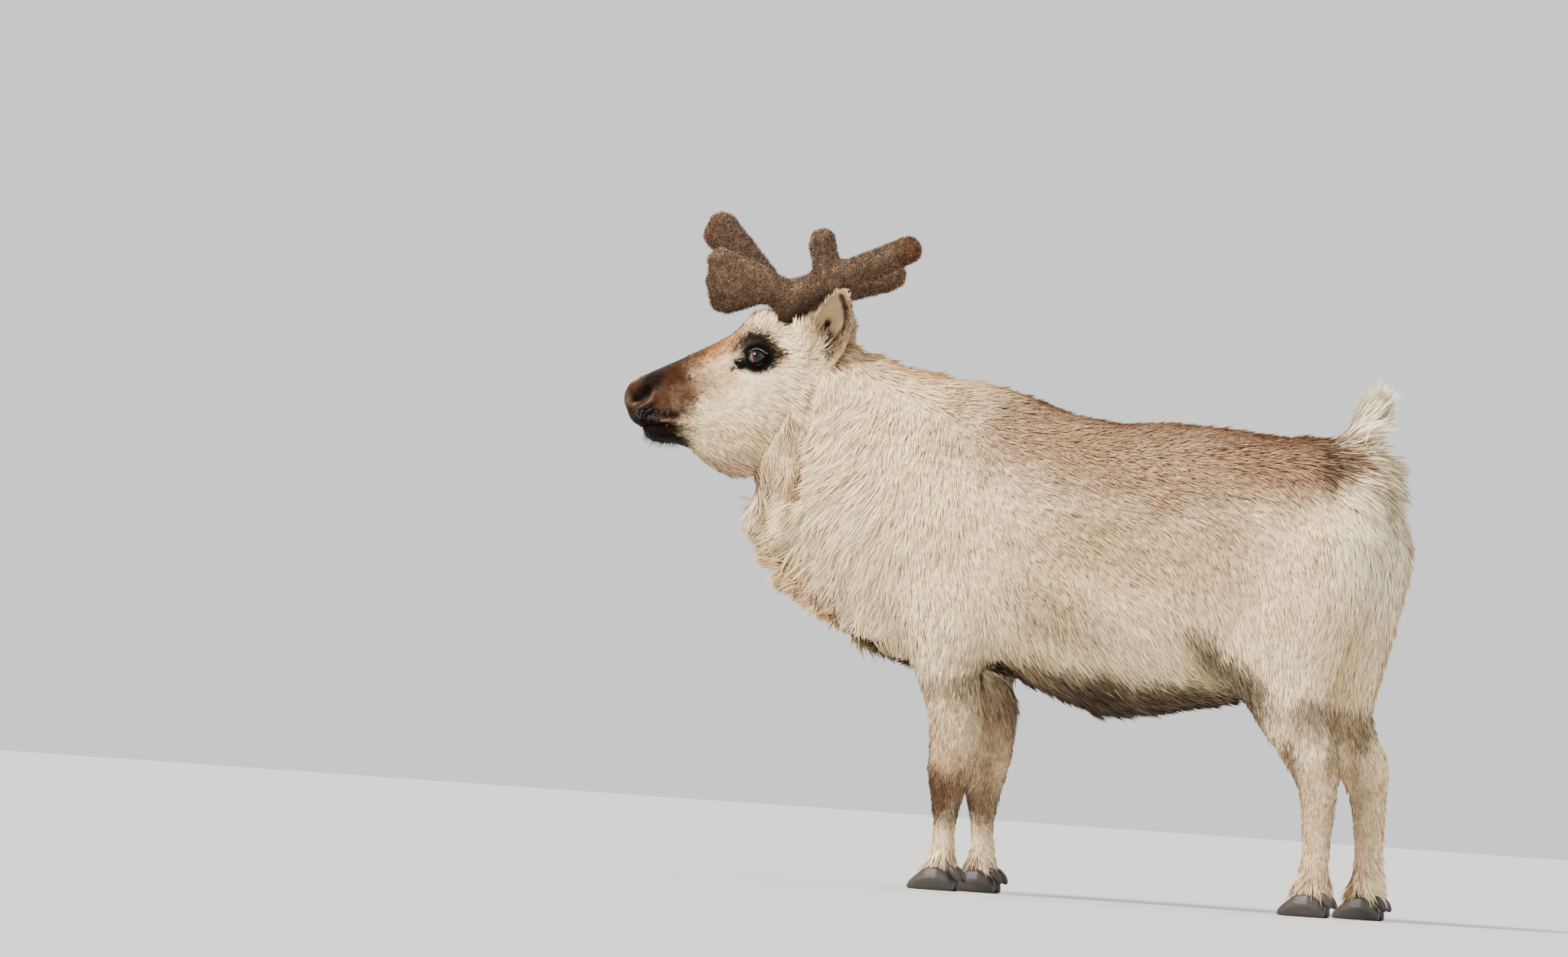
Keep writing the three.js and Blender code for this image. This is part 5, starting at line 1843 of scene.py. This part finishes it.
@dataclass
class Coat:
    """The hair, as small closed tufts rooted in the skin.

    Lengths are in metres and angles in degrees. Where two spreads are given, the first is from
    clump to clump and the second from tuft to tuft. Waves are turn, size and pattern. A tuft's
    tip is drawn to the middle of its clump, and in the ruff to the points of the locks too.
    """

    skin: SkinMesh
    markings: Markings
    finish: HairFinish = FUR
    seed: int = 7
    shortest: float = 0.001
    sink: float = 0.002
    clear: float = 0.003
    long_hair: float = 0.052
    waves: tuple[tuple[float, float, int], ...] = ((30, 0.075, 51), (18, 0.02, 52))
    bend_spread: Pair = (4, 6)
    length_spread: Pair = (0.1, 0.14)
    root_spread: Pair = (5, 6)
    tip_spread: Pair = (4, 5)
    width_spread: float = 0.2
    stray: float = 0.22
    least_stray: float = 0.0028
    dark_tips: Pair = (0.3, 0.4)
    patchy: Pair = (0.2, 0.07)
    patchy_pieces: tuple[CoatPiece, ...] = (
        CoatPiece.HEAD, CoatPiece.EARS, CoatPiece.FRONT_LEGS, CoatPiece.HIND_LEGS
    )
    ruff_locks: tuple[Triple, ...] = (
        (-722, 0, 668), (-716, 0, 622), (-696, 0, 576), (-662, 0, 534), (-620, 0, 497), (-575, 0, 465),
        (-525, 0, 440), (-480, 0, 420), (-705, 44, 645), (-688, 48, 598), (-660, 52, 554), (-624, 56, 516),
        (-582, 58, 482), (-535, 60, 454), (-490, 62, 430), (-650, 92, 610), (-625, 94, 562), (-590, 96, 522),
        (-548, 98, 490), (-502, 100, 462),
    )
    ruff_tips: tuple[Triple, ...] = (
        (-752, 14, 572), (-738, 14, 535), (-692, 16, 487), (-650, 18, 470),
        (-608, 20, 457), (-566, 22, 440),
    )
    lock_pull: float = 0.66
    lock_spread: float = 0.005
    clump_sizes: dict = field(default_factory=lambda: {
        CoatPiece.HEAD: 0.005, CoatPiece.EARS: 0.006, CoatPiece.NECK: 0.012, CoatPiece.RUFF: 0.045,
        CoatPiece.BACK: 0.007, CoatPiece.LEFT_FLANK: 0.008, CoatPiece.RIGHT_FLANK: 0.008,
        CoatPiece.BELLY: 0.014, CoatPiece.RUMP: 0.009, CoatPiece.TAIL: 0.028,
        CoatPiece.FRONT_LEGS: 0.007, CoatPiece.HIND_LEGS: 0.007,
    })

    def grow(self) -> list[Object]:
        """Makes every piece of the coat."""
        rng = np.random.default_rng(self.seed)
        skin = self.skin
        spacing = skin.growth.spacing[skin.triangles].mean(1)
        chosen, shares = scattered(areas(skin.points, skin.triangles) / spacing**2, rng)
        corners = skin.triangles[chosen]
        roots = Roots(
            blended(skin.points, corners, shares),
            unit(blended(skin.normals, corners, shares)),
            blended(skin.unwrap, skin.loops[chosen], shares),
            skin.growth.pick(corners, shares),
        )
        material = self.finish.material()
        made = []
        for number, piece in enumerate(CoatPiece):
            mask = (roots.growth.piece == number) & (roots.growth.length > self.shortest)
            obj = self.piece(piece, roots.masked(mask), rng)
            obj.data.materials.append(material)
            made.append(obj)
        return made

    def locks(self, roots: Array) -> Array:
        """The nearest of the ruff's big locks to each root."""
        places = [(x, y * side, z) for x, y, z in self.ruff_locks for side in ((1, -1) if y else (1,))]
        shifted = roots + 0.02 * wander(roots, 0.03, 20)
        return ((shifted[:, None] - STANCE.body(places)[None]) ** 2).sum(-1).argmin(1)

    def drawn(self, ends: Array) -> Array:
        """How far each of the ruff's hair ends is drawn onto the nearest lock's point."""
        points = STANCE.body([(x, y * side, z) for x, y, z in self.ruff_tips for side in (1, -1)])
        away = np.linalg.norm(ends[:, None] - points[None], axis=2)
        nearest = away.argmin(1)
        share = self.lock_pull * smoothstep(0.08, 0.04, away[np.arange(len(ends)), nearest])
        return (points[nearest] - ends) * share[:, None]

    def clumps(self, roots: Array, size: float) -> Array:
        """Each root's clump, one of many of about a size, with wandering edges."""
        cell = np.floor((roots + wander(roots, size * 1.7, 20) * size * 1.6) / size).astype(np.int64)
        key = cell[:, 0] * 1_000_003 + cell[:, 1] * 10_007 + cell[:, 2]
        return np.unique(key, return_inverse=True)[1].ravel()

    def strands(self, tufts: Tufts, rng: np.random.Generator) -> tuple[Array, Array, Array]:
        """Places the corners of a piece's tufts.

        Args:
            tufts: The tufts.
            rng: The random draws.

        Returns:
            The places, and the normals there on the upper and the lower side, tuft by corner.
        """
        places, normals, growth = tufts.roots.places, tufts.roots.normals, tufts.roots.growth
        spread, shape = tufts.spread, tufts.shape
        wave = sum(turn * (noise(places, size, seed) - 0.5) for turn, size, seed in self.waves)
        bend = np.radians(wave + spread(self.bend_spread, 0, 0))
        lie = unit(level(growth.lie, normals))
        side = unit(np.cross(lie, normals))
        lie = unit(lie * np.cos(bend)[:, None] + side * np.sin(bend)[:, None])
        side = unit(np.cross(lie, normals))
        length = growth.length * np.clip(1 + spread(self.length_spread, 1, 1), 0.5, 1.5)
        length = np.minimum(length, np.maximum(0.85 * places[:, 2] - self.clear, 0.002))
        width = growth.width * np.clip(1 + self.width_spread * tufts.own[:, 2], 0.5, 1.6)
        root = np.radians(np.clip(growth.root + spread(self.root_spread, 2, 3), 5, 75))
        tip = np.radians(np.clip(growth.tip + spread(self.tip_spread, 3, 0), -5, 60))
        gather = level((tufts.centre - places) * growth.clump[:, None], normals)
        start = places - normals * self.sink

        def along_hair(along: float) -> Array:
            """The places some way along the hairs, which bend evenly from root to tip."""
            rise = np.sin(root) * along + (np.sin(tip) - np.sin(root)) * along**2 / 2
            run = np.cos(root) * along + (np.cos(tip) - np.cos(root)) * along**2 / 2
            return start + lie * (length * run)[:, None] + normals * (length * rise)[:, None]

        pull = np.zeros_like(places)
        if tufts.piece is CoatPiece.RUFF:
            ends = along_hair(1.0) + gather
            pull = self.drawn(ends + self.lock_spread * rng.normal(size=ends.shape))
        corners, above, below = [], [], []
        for along, across in zip(shape.along, shape.across):
            drawn = gather * along**1.3 + pull * along**1.6
            corners.append(along_hair(along) + drawn + side * (width * across / 2)[:, None])
            angle = mix(root, tip, along)
            lean = normals * np.cos(angle)[:, None] - lie * np.sin(angle)[:, None]
            above.append(unit(0.75 * normals + 0.25 * lean + 0.25 * across * side))
            below.append(unit(0.3 * across * side - lean))
        return np.stack(corners, axis=1), np.stack(above, axis=1), np.stack(below, axis=1)

    def tones(self, tufts: Tufts, rng: np.random.Generator) -> Array:
        """Colours the corners of a piece's tufts.

        Args:
            tufts: The tufts.
            rng: The random draws.

        Returns:
            A linear colour for each corner of each tuft.
        """
        places = tufts.roots.places
        stray = np.maximum(tufts.roots.growth.length * self.stray, self.least_stray)
        strayed = places + rng.normal(size=places.shape) * stray[:, None]
        colour = self.markings.colour(strayed)
        dull = smoothstep(0.6, 0.3, colour.mean(1))
        often, amount = self.dark_tips
        dark_tip = (rng.random(len(colour)) < often * dull) * amount
        patchy = self.patchy[0] if tufts.piece in self.patchy_pieces else self.patchy[1]
        streak = np.clip(1 + tufts.spread((patchy, 0.1), 1, 2), 0.6, 1.3)
        tones = []
        # Painted shade: each tuft darkens towards its root, deepest in dark hair; partly the darker underfur,
        # partly the shade deep in the coat.
        for shade in tufts.shape.shade:
            factor = mix(mix(0.84, 0.62, dull), 1.04, shade) * streak * (1 - dark_tip * shade**3)
            tones.append(colour * factor[:, None])
        return np.clip(np.stack(tones, axis=1), 0, 1)

    def piece(self, piece: CoatPiece, roots: Roots, rng: np.random.Generator) -> Object:
        """Builds one piece of the coat.

        Args:
            piece: Which piece.
            roots: The roots of its tufts.
            rng: The random draws.

        Returns:
            The object.
        """
        places = roots.places
        shape = LOCK if np.median(roots.growth.length) > self.long_hair else TUFT
        if piece is CoatPiece.RUFF:
            group = self.locks(places)
        else:
            group = self.clumps(places, self.clump_sizes[piece])
        groups = int(group.max()) + 1
        size = np.maximum(np.bincount(group, minlength=groups), 1)
        sums = [np.bincount(group, places[:, axis], groups) for axis in range(3)]
        centre = (np.stack(sums, 1) / size[:, None])[group]
        sway = rng.normal(size=(groups, 4))[group]
        own = rng.normal(size=(len(places), 4))
        tufts = Tufts(piece, shape, roots, centre, sway, own)
        points, above, below = self.strands(tufts, rng)
        tones = self.tones(tufts, rng)

        faces = np.array(shape.faces)
        starts = np.arange(len(places)) * len(shape.along)
        triangles = (faces[None] + starts[:, None, None]).reshape(-1, 3)
        offset = np.stack([np.array(shape.across) * 0.5, np.array(shape.along) - 0.5], axis=1) * SPAN
        uv = (roots.unwrap[:, None] + offset[None]).reshape(-1, 2)
        mesh = bulk_mesh(piece.value, points.reshape(-1, 3), triangles, uv[triangles.ravel()])
        paint(mesh, tones.reshape(-1, 3))
        upper, lower = faces[: shape.upper].ravel(), faces[shape.upper :].ravel()
        shading = np.concatenate([above[:, upper], below[:, lower]], axis=1)
        mesh.normals_split_custom_set(shading.reshape(-1, 3).tolist())
        return add_object(piece.value, mesh)


def bulk_mesh(name: str, points: Array, triangles: Array, uv: Array) -> Mesh:
    """A mesh of many triangles, with its unwrap.

    Args:
        name: The mesh's name.
        points: Its points.
        triangles: Its triangles.
        uv: The unwrap's place for each corner.

    Returns:
        The mesh.
    """
    mesh = bpy.data.meshes.new(name)
    mesh.vertices.add(len(points))
    mesh.vertices.foreach_set("co", points.astype(np.float32).ravel())
    mesh.loops.add(triangles.size)
    mesh.loops.foreach_set("vertex_index", triangles.astype(np.int32).ravel())
    mesh.polygons.add(len(triangles))
    mesh.polygons.foreach_set("loop_start", np.arange(0, triangles.size, 3, dtype=np.int32))
    mesh.polygons.foreach_set("use_smooth", np.ones(len(triangles), dtype=bool))
    layer = mesh.uv_layers.new(name=UNWRAP)
    layer.data.foreach_set("uv", uv.astype(np.float32).ravel())
    mesh.update(calc_edges=True)
    return mesh


# Eyes, antlers and hooves


@dataclass(frozen=True)
class Eye:
    """The ball of an eye, with a bulging front."""

    lids: Lids = Lids()
    bulge: float = 1.2
    pupil: Pair = (7.5, 5.5)
    iris: float = 12.0
    gaze: float = -10.0
    rows: int = 40
    columns: int = 56
    white: Triple = (22, 14, 12)
    brown: Triple = (30, 17, 12)
    black: Triple = (3, 3, 4)
    lit: Triple = (132, 84, 72)

    def build(self, side: int, name: str, node: str) -> None:
        """Makes the eye.

        Args:
            side: 1 for the animal's left, -1 for its right.
            name: The object's name.
            node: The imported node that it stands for.
        """
        out, ahead, up = self.lids.axes(side)
        centre = np.array(self.lids.centre) * [1, side, 1]
        polar = np.linspace(0.02, math.pi - 0.02, self.rows)
        turn = np.linspace(0, 2 * math.pi, self.columns, endpoint=False)
        p, t = np.meshgrid(polar, turn, indexing="ij")
        p, t = p.ravel()[:, None], t.ravel()[:, None]
        radius = self.lids.radius + self.bulge * np.exp(-((p / 0.5) ** 2))
        local = out * np.cos(p) + (ahead * np.cos(t) + up * np.sin(t)) * np.sin(p)
        points = STANCE.head(centre + local * radius)
        quads = lattice(self.rows, self.columns).tolist()
        first = list(range(self.columns))
        last = [(self.rows - 1) * self.columns + k for k in first]
        faces = facing_out(points, [*quads, first[::-1], last])
        mesh = faceted(points, faces, name)
        forward = local @ ahead * self.lids.radius - self.gaze * 0.3
        height = local @ up * self.lids.radius
        lateral = np.hypot(forward, height)
        pupil = smoothstep(1.15, 0.9, np.hypot(forward / self.pupil[0], height / self.pupil[1]))
        iris = smoothstep(self.iris + 0.8, self.iris - 0.8, lateral)
        rays = np.stack([np.arctan2(height, forward) * 9, lateral * 0.2, 0 * height], 1)
        fibres = 0.8 + 0.4 * noise(rays, 1.0, 5)
        # Painted light: a pale crescent at the front of the dark iris, where light falls into the eye.
        crescent = smoothstep(5.2, 7.8, forward) * smoothstep(self.iris + 1.5, self.iris - 1.5, lateral)
        colour = np.tile(linear(self.white), (len(points), 1))
        colour = mix(colour, linear(self.brown) * fibres[:, None], iris[:, None])
        colour = mix(colour, linear(self.black), (pupil * iris)[:, None])
        colour = mix(colour, linear(self.lit), 0.8 * crescent[:, None])
        paint(mesh, colour)
        obj = add_object(name, mesh, EyeFinish().material())
        declare(obj, [node])


@dataclass(frozen=True)
class Lobe:
    """A swelling of an antler between two places of the head's frame, in millimetres.

    Radius is at the two ends, and flat is its half-thickness sideways as a share of that.
    """

    start: Triple
    end: Triple
    radius: Pair
    flat: float = 1.0

    def distance(self, local: Array) -> Array:
        """Distances to the lobe, in millimetres."""
        squash = np.array([1, 1 / self.flat, 1])
        ends = np.array(self.start) * squash, np.array(self.end) * squash
        away, t = from_line(local * squash, *ends)
        return away - mix(*self.radius, t)


@dataclass
class Antler:
    """One velvet antler, its tines fused and covered in a short nap.

    The lobes are in millimetres of the head's frame and the other sizes in metres. Lift is how
    far the back of the beam is raised.
    """

    side: str
    finish: HairFinish = VELVET
    voxel: float = 0.0025
    reach: float = 0.024
    fuse: float = 0.0008
    edge: float = 0.008
    crease: float = 0.014
    soften: float = 0.0035
    knobs: float = 0.0014
    nap_length: float = 0.0052
    nap_radius: float = 0.00055
    nap_spacing: float = 0.0017
    pale_hairs: float = 0.34
    seed: int = 11
    lobes: dict = field(default_factory=lambda: {
        "left": (
            Lobe((190, 42, 1036), (212, 41, 1044), (21, 24), 0.6),
            Lobe((200, 41, 1008), (225, 40, 1010), (20, 13), 0.8),
            Lobe((168, 44, 978), (192, 42, 974), (16, 22), 0.62),
            Lobe((108, 50, 1000), (46, 66, 1014), (14, 15)),
            Lobe((36, 86, 1070), (37, 86, 1083), (20, 22)),
            Lobe((-96, 126, 1064), (-110, 131, 1070), (22, 24)),
        ),
        "right": (
            Lobe((140, -54, 1040), (218, -51, 1119), (20, 25), 0.9),
            Lobe((108, -50, 1000), (46, -66, 1014), (14, 15)),
        ),
    })
    lift: dict = field(default_factory=lambda: {"left": 0.0, "right": 0.018})

    def build(self) -> None:
        """Makes the antler and its nap."""
        nodes = [f"{self.side}_antler_{part}" for part in ("beam", "brow", "tine")]
        points, triangles, quads = self.form(nodes).surface(-0.4 * self.nap_length)
        points = points.astype(float)
        faces = [*triangles.tolist(), *quads.tolist()]
        fan, loops = fan_triangles(faces)
        normals = point_normals(points, fan)
        points += normals * ((noise(points, 0.011, 31) - 0.5) * self.knobs * 2)[:, None]
        mesh = faceted(points, faces, f"{self.side}_antler")
        colours = self.colours(points)
        paint(mesh, colours)
        obj = add_object(f"{self.side}_antler", mesh, self.finish.material())
        unwrap = unwrapped(obj)
        declare(obj, nodes)

        rng = np.random.default_rng(self.seed)
        chosen, shares = scattered(areas(points, fan) / self.nap_spacing**2, rng)
        corners = fan[chosen]
        roots = blended(points, corners, shares)
        out = unit(blended(normals, corners, shares))
        tilt = 1.5 * wander(roots, 0.012, 60) + 0.25 * rng.normal(size=roots.shape)
        headings = unit(out + tilt + [0, 0, -0.15])
        lengths = self.nap_length * rng.uniform(0.7, 1.3, len(roots))
        pale = rng.random(len(roots)) < self.pale_hairs
        bright = (0.4 + 1.2 * noise(roots, 0.005, 14)) * np.where(pale, 2.7, 0.8)
        tints = blended(colours, corners, shares) * bright[:, None]
        places = blended(unwrap, loops[chosen], shares)
        nap = Sprouts(f"{self.side}_antler_nap", self.finish.material(), self.nap_radius)
        declare(nap.grow(roots, headings, lengths, tints, places))

    def form(self, nodes: Sequence[str]) -> DistanceField:
        """The antler's solids as one rounded form with its lobes."""
        boxes = [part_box(node) for node in nodes]
        low = np.min([b[0] for b in boxes], axis=0) - 0.03
        high = np.max([b[1] for b in boxes], axis=0) + 0.03
        form = DistanceField.spanning(low, high, self.voxel).to_nodes(nodes, self.reach)
        places = form.places(np.ones_like(form.values, bool))
        local = STANCE.in_head(places)
        raised = self.lift[self.side] * smoothstep(70, -50, local[:, 0])
        values = form.at(places - raised[:, None] * [0, 0, 1])
        for lobe in self.lobes[self.side]:
            values = np.minimum(values, lobe.distance(local) * MM)
        form = form.like(values.reshape(form.values.shape))
        form = form.redistanced(self.fuse, self.reach).rounded(self.edge, self.reach)
        return form.rounded(-self.crease, self.reach).blurred(self.soften)

    def colours(self, points: Array) -> Array:
        """Grey-brown velvet, darker at the root, rusty at the tips."""
        local = STANCE.in_head(points)
        mottle = noise(points, 0.02, 12)
        colour = np.tile(pigment((134, 113, 94)), (len(points), 1))
        for tone, share in (
            ((84, 56, 36), 0.95 * smoothstep(1010, 935, local[:, 2])),
            ((134, 88, 54), 0.6 * smoothstep(-80, -116, local[:, 0])),
            ((124, 88, 64), 0.5 * smoothstep(216, 238, local[:, 0])),
        ):
            colour = mix(colour, pigment(tone), share[:, None])
        speckle = noise(points, 0.0045, 13)
        return colour * (0.62 + 0.34 * mottle + 0.42 * speckle)[:, None]


@dataclass(frozen=True)
class Hooves:
    """The claws and dewclaws of the four feet."""

    finish: HornFinish = HornFinish()
    voxel: float = 0.0024
    soften: float = 0.0022

    def build(self) -> None:
        """Makes all the claws as one piece."""
        points, faces, nodes = [], [], []
        start = 0
        for node in (n for n in frame["nodes"] if n.endswith("claw")):
            low, high = (np.array(corner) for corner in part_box(node))
            grid = DistanceField.spanning(low - 0.006, high + 0.006, self.voxel)
            form = grid.to_nodes([node], 5 * self.voxel).blurred(self.soften)
            place, triangles, quads = form.surface(-0.0002)
            place = place.astype(float)
            place[:, 2] = np.maximum(place[:, 2], 0.0)
            points.append(place)
            faces.extend((np.asarray(f) + start).tolist() for f in (*triangles, *quads))
            start += len(place)
            nodes.append(node)
        mesh = faceted(np.concatenate(points), faces, "hooves")
        declare(add_object("hooves", mesh, self.finish.material()), nodes)


@dataclass(frozen=True)
class Bristles:
    """Eyelashes, whiskers and the bristles of the chin."""

    lids: Lids = Lids()
    lashes: int = 46
    chin: int = 260
    lip: int = 120
    radius: float = 0.00028
    seed: int = 5

    def build(self, skin: SkinMesh, material: Material) -> None:
        """Makes the lashes and the bristles.

        Args:
            skin: The skin that they stand on.
            material: Their finish.
        """
        rng = np.random.default_rng(self.seed)
        places, headings, lengths, tones = [], [], [], []

        def add(place: Array, heading: Array, length: Array, tone: Sequence[float]) -> None:
            """Notes a group of hairs in the head's frame, in millimetres."""
            places.append(STANCE.head(place))
            headings.append(unit(heading) @ STANCE.turn().T)
            lengths.append(length * MM)
            tones.append(linear(tone) * rng.uniform(0.7, 1.2, (len(place), 1)))

        for side in (1, -1):
            out, ahead, up = self.lids.axes(side)
            turn = np.linspace(math.radians(35), math.radians(172), self.lashes)
            reach = self.lids.opening(turn) + 2.2
            around = np.cos(turn)[:, None] * ahead + np.sin(turn)[:, None] * up
            rim = np.sqrt(np.maximum((self.lids.radius + 2.5) ** 2 - reach**2, 0))
            place = np.array(self.lids.centre) * [1, side, 1] + around * reach[:, None] + out * rim[:, None]
            heading = out * 1.0 + around * 0.3 - up * 0.45 - ahead * 0.5 + rng.normal(size=place.shape) * 0.12
            # Painted shade: the far eye's lashes are darker than the near eye's.
            tone = (186, 176, 160) if side > 0 else (170, 160, 146)
            add(place, heading, rng.uniform(8, 13, len(place)), tone)
            drawn = rng.random((self.lip, 3))
            place = np.array([276, 0, 762]) + drawn * [66, 0, 26]
            place[:, 1] = side * (52 - 14 * drawn[:, 0])
            heading = np.array([0.25, 0.8 * side, -0.6]) + rng.normal(size=place.shape) * 0.25
            add(place, heading, rng.uniform(9, 24, len(place)), (120, 104, 90))
        drawn = rng.random((self.chin, 3))
        place = np.array([262, -30, 722]) + drawn * [80, 60, 14]
        heading = np.array([0.35, 0, -1.0]) + (place - [300, 0, 740]) * [0, 0.02, 0]
        heading = heading + rng.normal(size=place.shape) * 0.22
        add(place, heading, rng.uniform(7, 20, len(place)), (70, 54, 44))

        roots, unwrap = skin.near(np.concatenate(places))
        hairs = Sprouts("lashes_and_bristles", material, self.radius)
        rest = (np.concatenate(values) for values in (headings, lengths, tones))
        declare(hairs.grow(roots, *rest, unwrap))


# Floor, light and camera


@dataclass(frozen=True)
class Studio:
    """A pale floor under soft light, and the camera."""

    azimuth: float = 16.0
    elevation: float = -1.6
    roll: float = 4.0
    lens: float = 250.0
    sensor: float = 36.0
    view_width: float = 2.6624
    aim_across: float = -0.668
    aim_height: float = 0.679
    floor: float = 60.0

    def build(self) -> None:
        """Makes the floor, the lights and the camera."""
        size = self.floor
        corners = [(-size, -size, 0), (size, -size, 0), (size, size, 0), (-size, size, 0)]
        paper = PlainFinish("floor_paper", (188, 188, 187)).material()
        add_object("floor", faceted(corners, [(0, 1, 2, 3)], "floor"), paper)
        self.light("key_light", (-48, 46), 7.0, 22, (1.0, 0.96, 0.89))
        self.light("fill_light", (50, 30), 0.9, 60, (0.95, 0.97, 1.0))
        self.light("back_light", (170, 45), 1.0, 40, (1.0, 1.0, 1.0))
        world = bpy.data.worlds.new("studio_air")
        bpy.context.scene.world = world
        world.use_nodes = True
        air = world.node_tree.nodes["Background"]
        air.inputs["Color"].default_value = (0.93, 0.94, 0.96, 1.0)
        air.inputs["Strength"].default_value = 1.12
        self.camera()

    def light(
        self, name: str, direction: Pair, strength: float, spread: float, colour: Sequence[float]
    ) -> None:
        """Adds a far soft light.

        Args:
            name: The light's name.
            direction: How far it comes from the camera's right and from the floor up, in degrees.
            strength: Its strength.
            spread: How soft it is, in degrees.
            colour: Its colour.
        """
        lamp = bpy.data.lights.new(name, "SUN")
        lamp.energy = strength
        lamp.angle = math.radians(spread)
        lamp.color = colour
        obj = bpy.data.objects.new(name, lamp)
        bpy.context.scene.collection.objects.link(obj)
        source = self.towards(self.azimuth + direction[0], direction[1])
        obj.rotation_euler = source.to_track_quat("Z", "Y").to_euler()

    def towards(self, azimuth: float, elevation: float) -> Vector:
        """The direction from the animal at two angles, in degrees."""
        around, height = math.radians(azimuth), math.radians(elevation)
        flat = math.cos(height)
        return Vector((math.sin(around) * flat, -math.cos(around) * flat, math.sin(height)))

    def camera(self) -> None:
        """Places the camera at the photo's viewing angle."""
        lens = bpy.data.cameras.new("camera")
        lens.lens = self.lens
        lens.sensor_width = self.sensor
        lens.clip_end = 400.0
        camera = bpy.data.objects.new("camera", lens)
        bpy.context.scene.collection.objects.link(camera)
        bpy.context.scene.camera = camera
        turn = math.radians(self.azimuth)
        right = Vector((math.cos(turn), math.sin(turn), 0))
        aim = right * self.aim_across + Vector((STANCE.shift * MM, 0, self.aim_height))
        back = self.towards(self.azimuth, self.elevation)
        camera.location = aim + back * (self.lens * self.view_width / self.sensor)
        look = (-back).to_track_quat("-Z", "Y")
        camera.rotation_mode = "QUATERNION"
        camera.rotation_quaternion = look @ Matrix.Rotation(math.radians(self.roll), 3, "Z").to_quaternion()


FLESH = (*Skin.limbs, *Skin.trunk, "left_ear", "right_ear", "tail")


def main() -> None:
    """Builds every piece of the animal and its studio."""
    logging.basicConfig(level=logging.INFO, format="%(message)s")
    Studio().build()
    markings = Markings()
    skin = Skin(CoatMap()).build()
    LOG.info("skin made")
    declare(skin.dress("skin", markings), FLESH)
    LOG.info("skin dressed")
    coat = Coat(skin, markings).grow()
    for piece in coat:
        declare(piece)
    Bristles().build(skin, coat[0].data.materials[0])
    for side, word in ((1, "left"), (-1, "right")):
        Eye().build(side, f"{word}_eyeball", f"{word}_eye")
        Antler(word).build()
    Hooves().build()


if __name__ == "__main__":
    main()
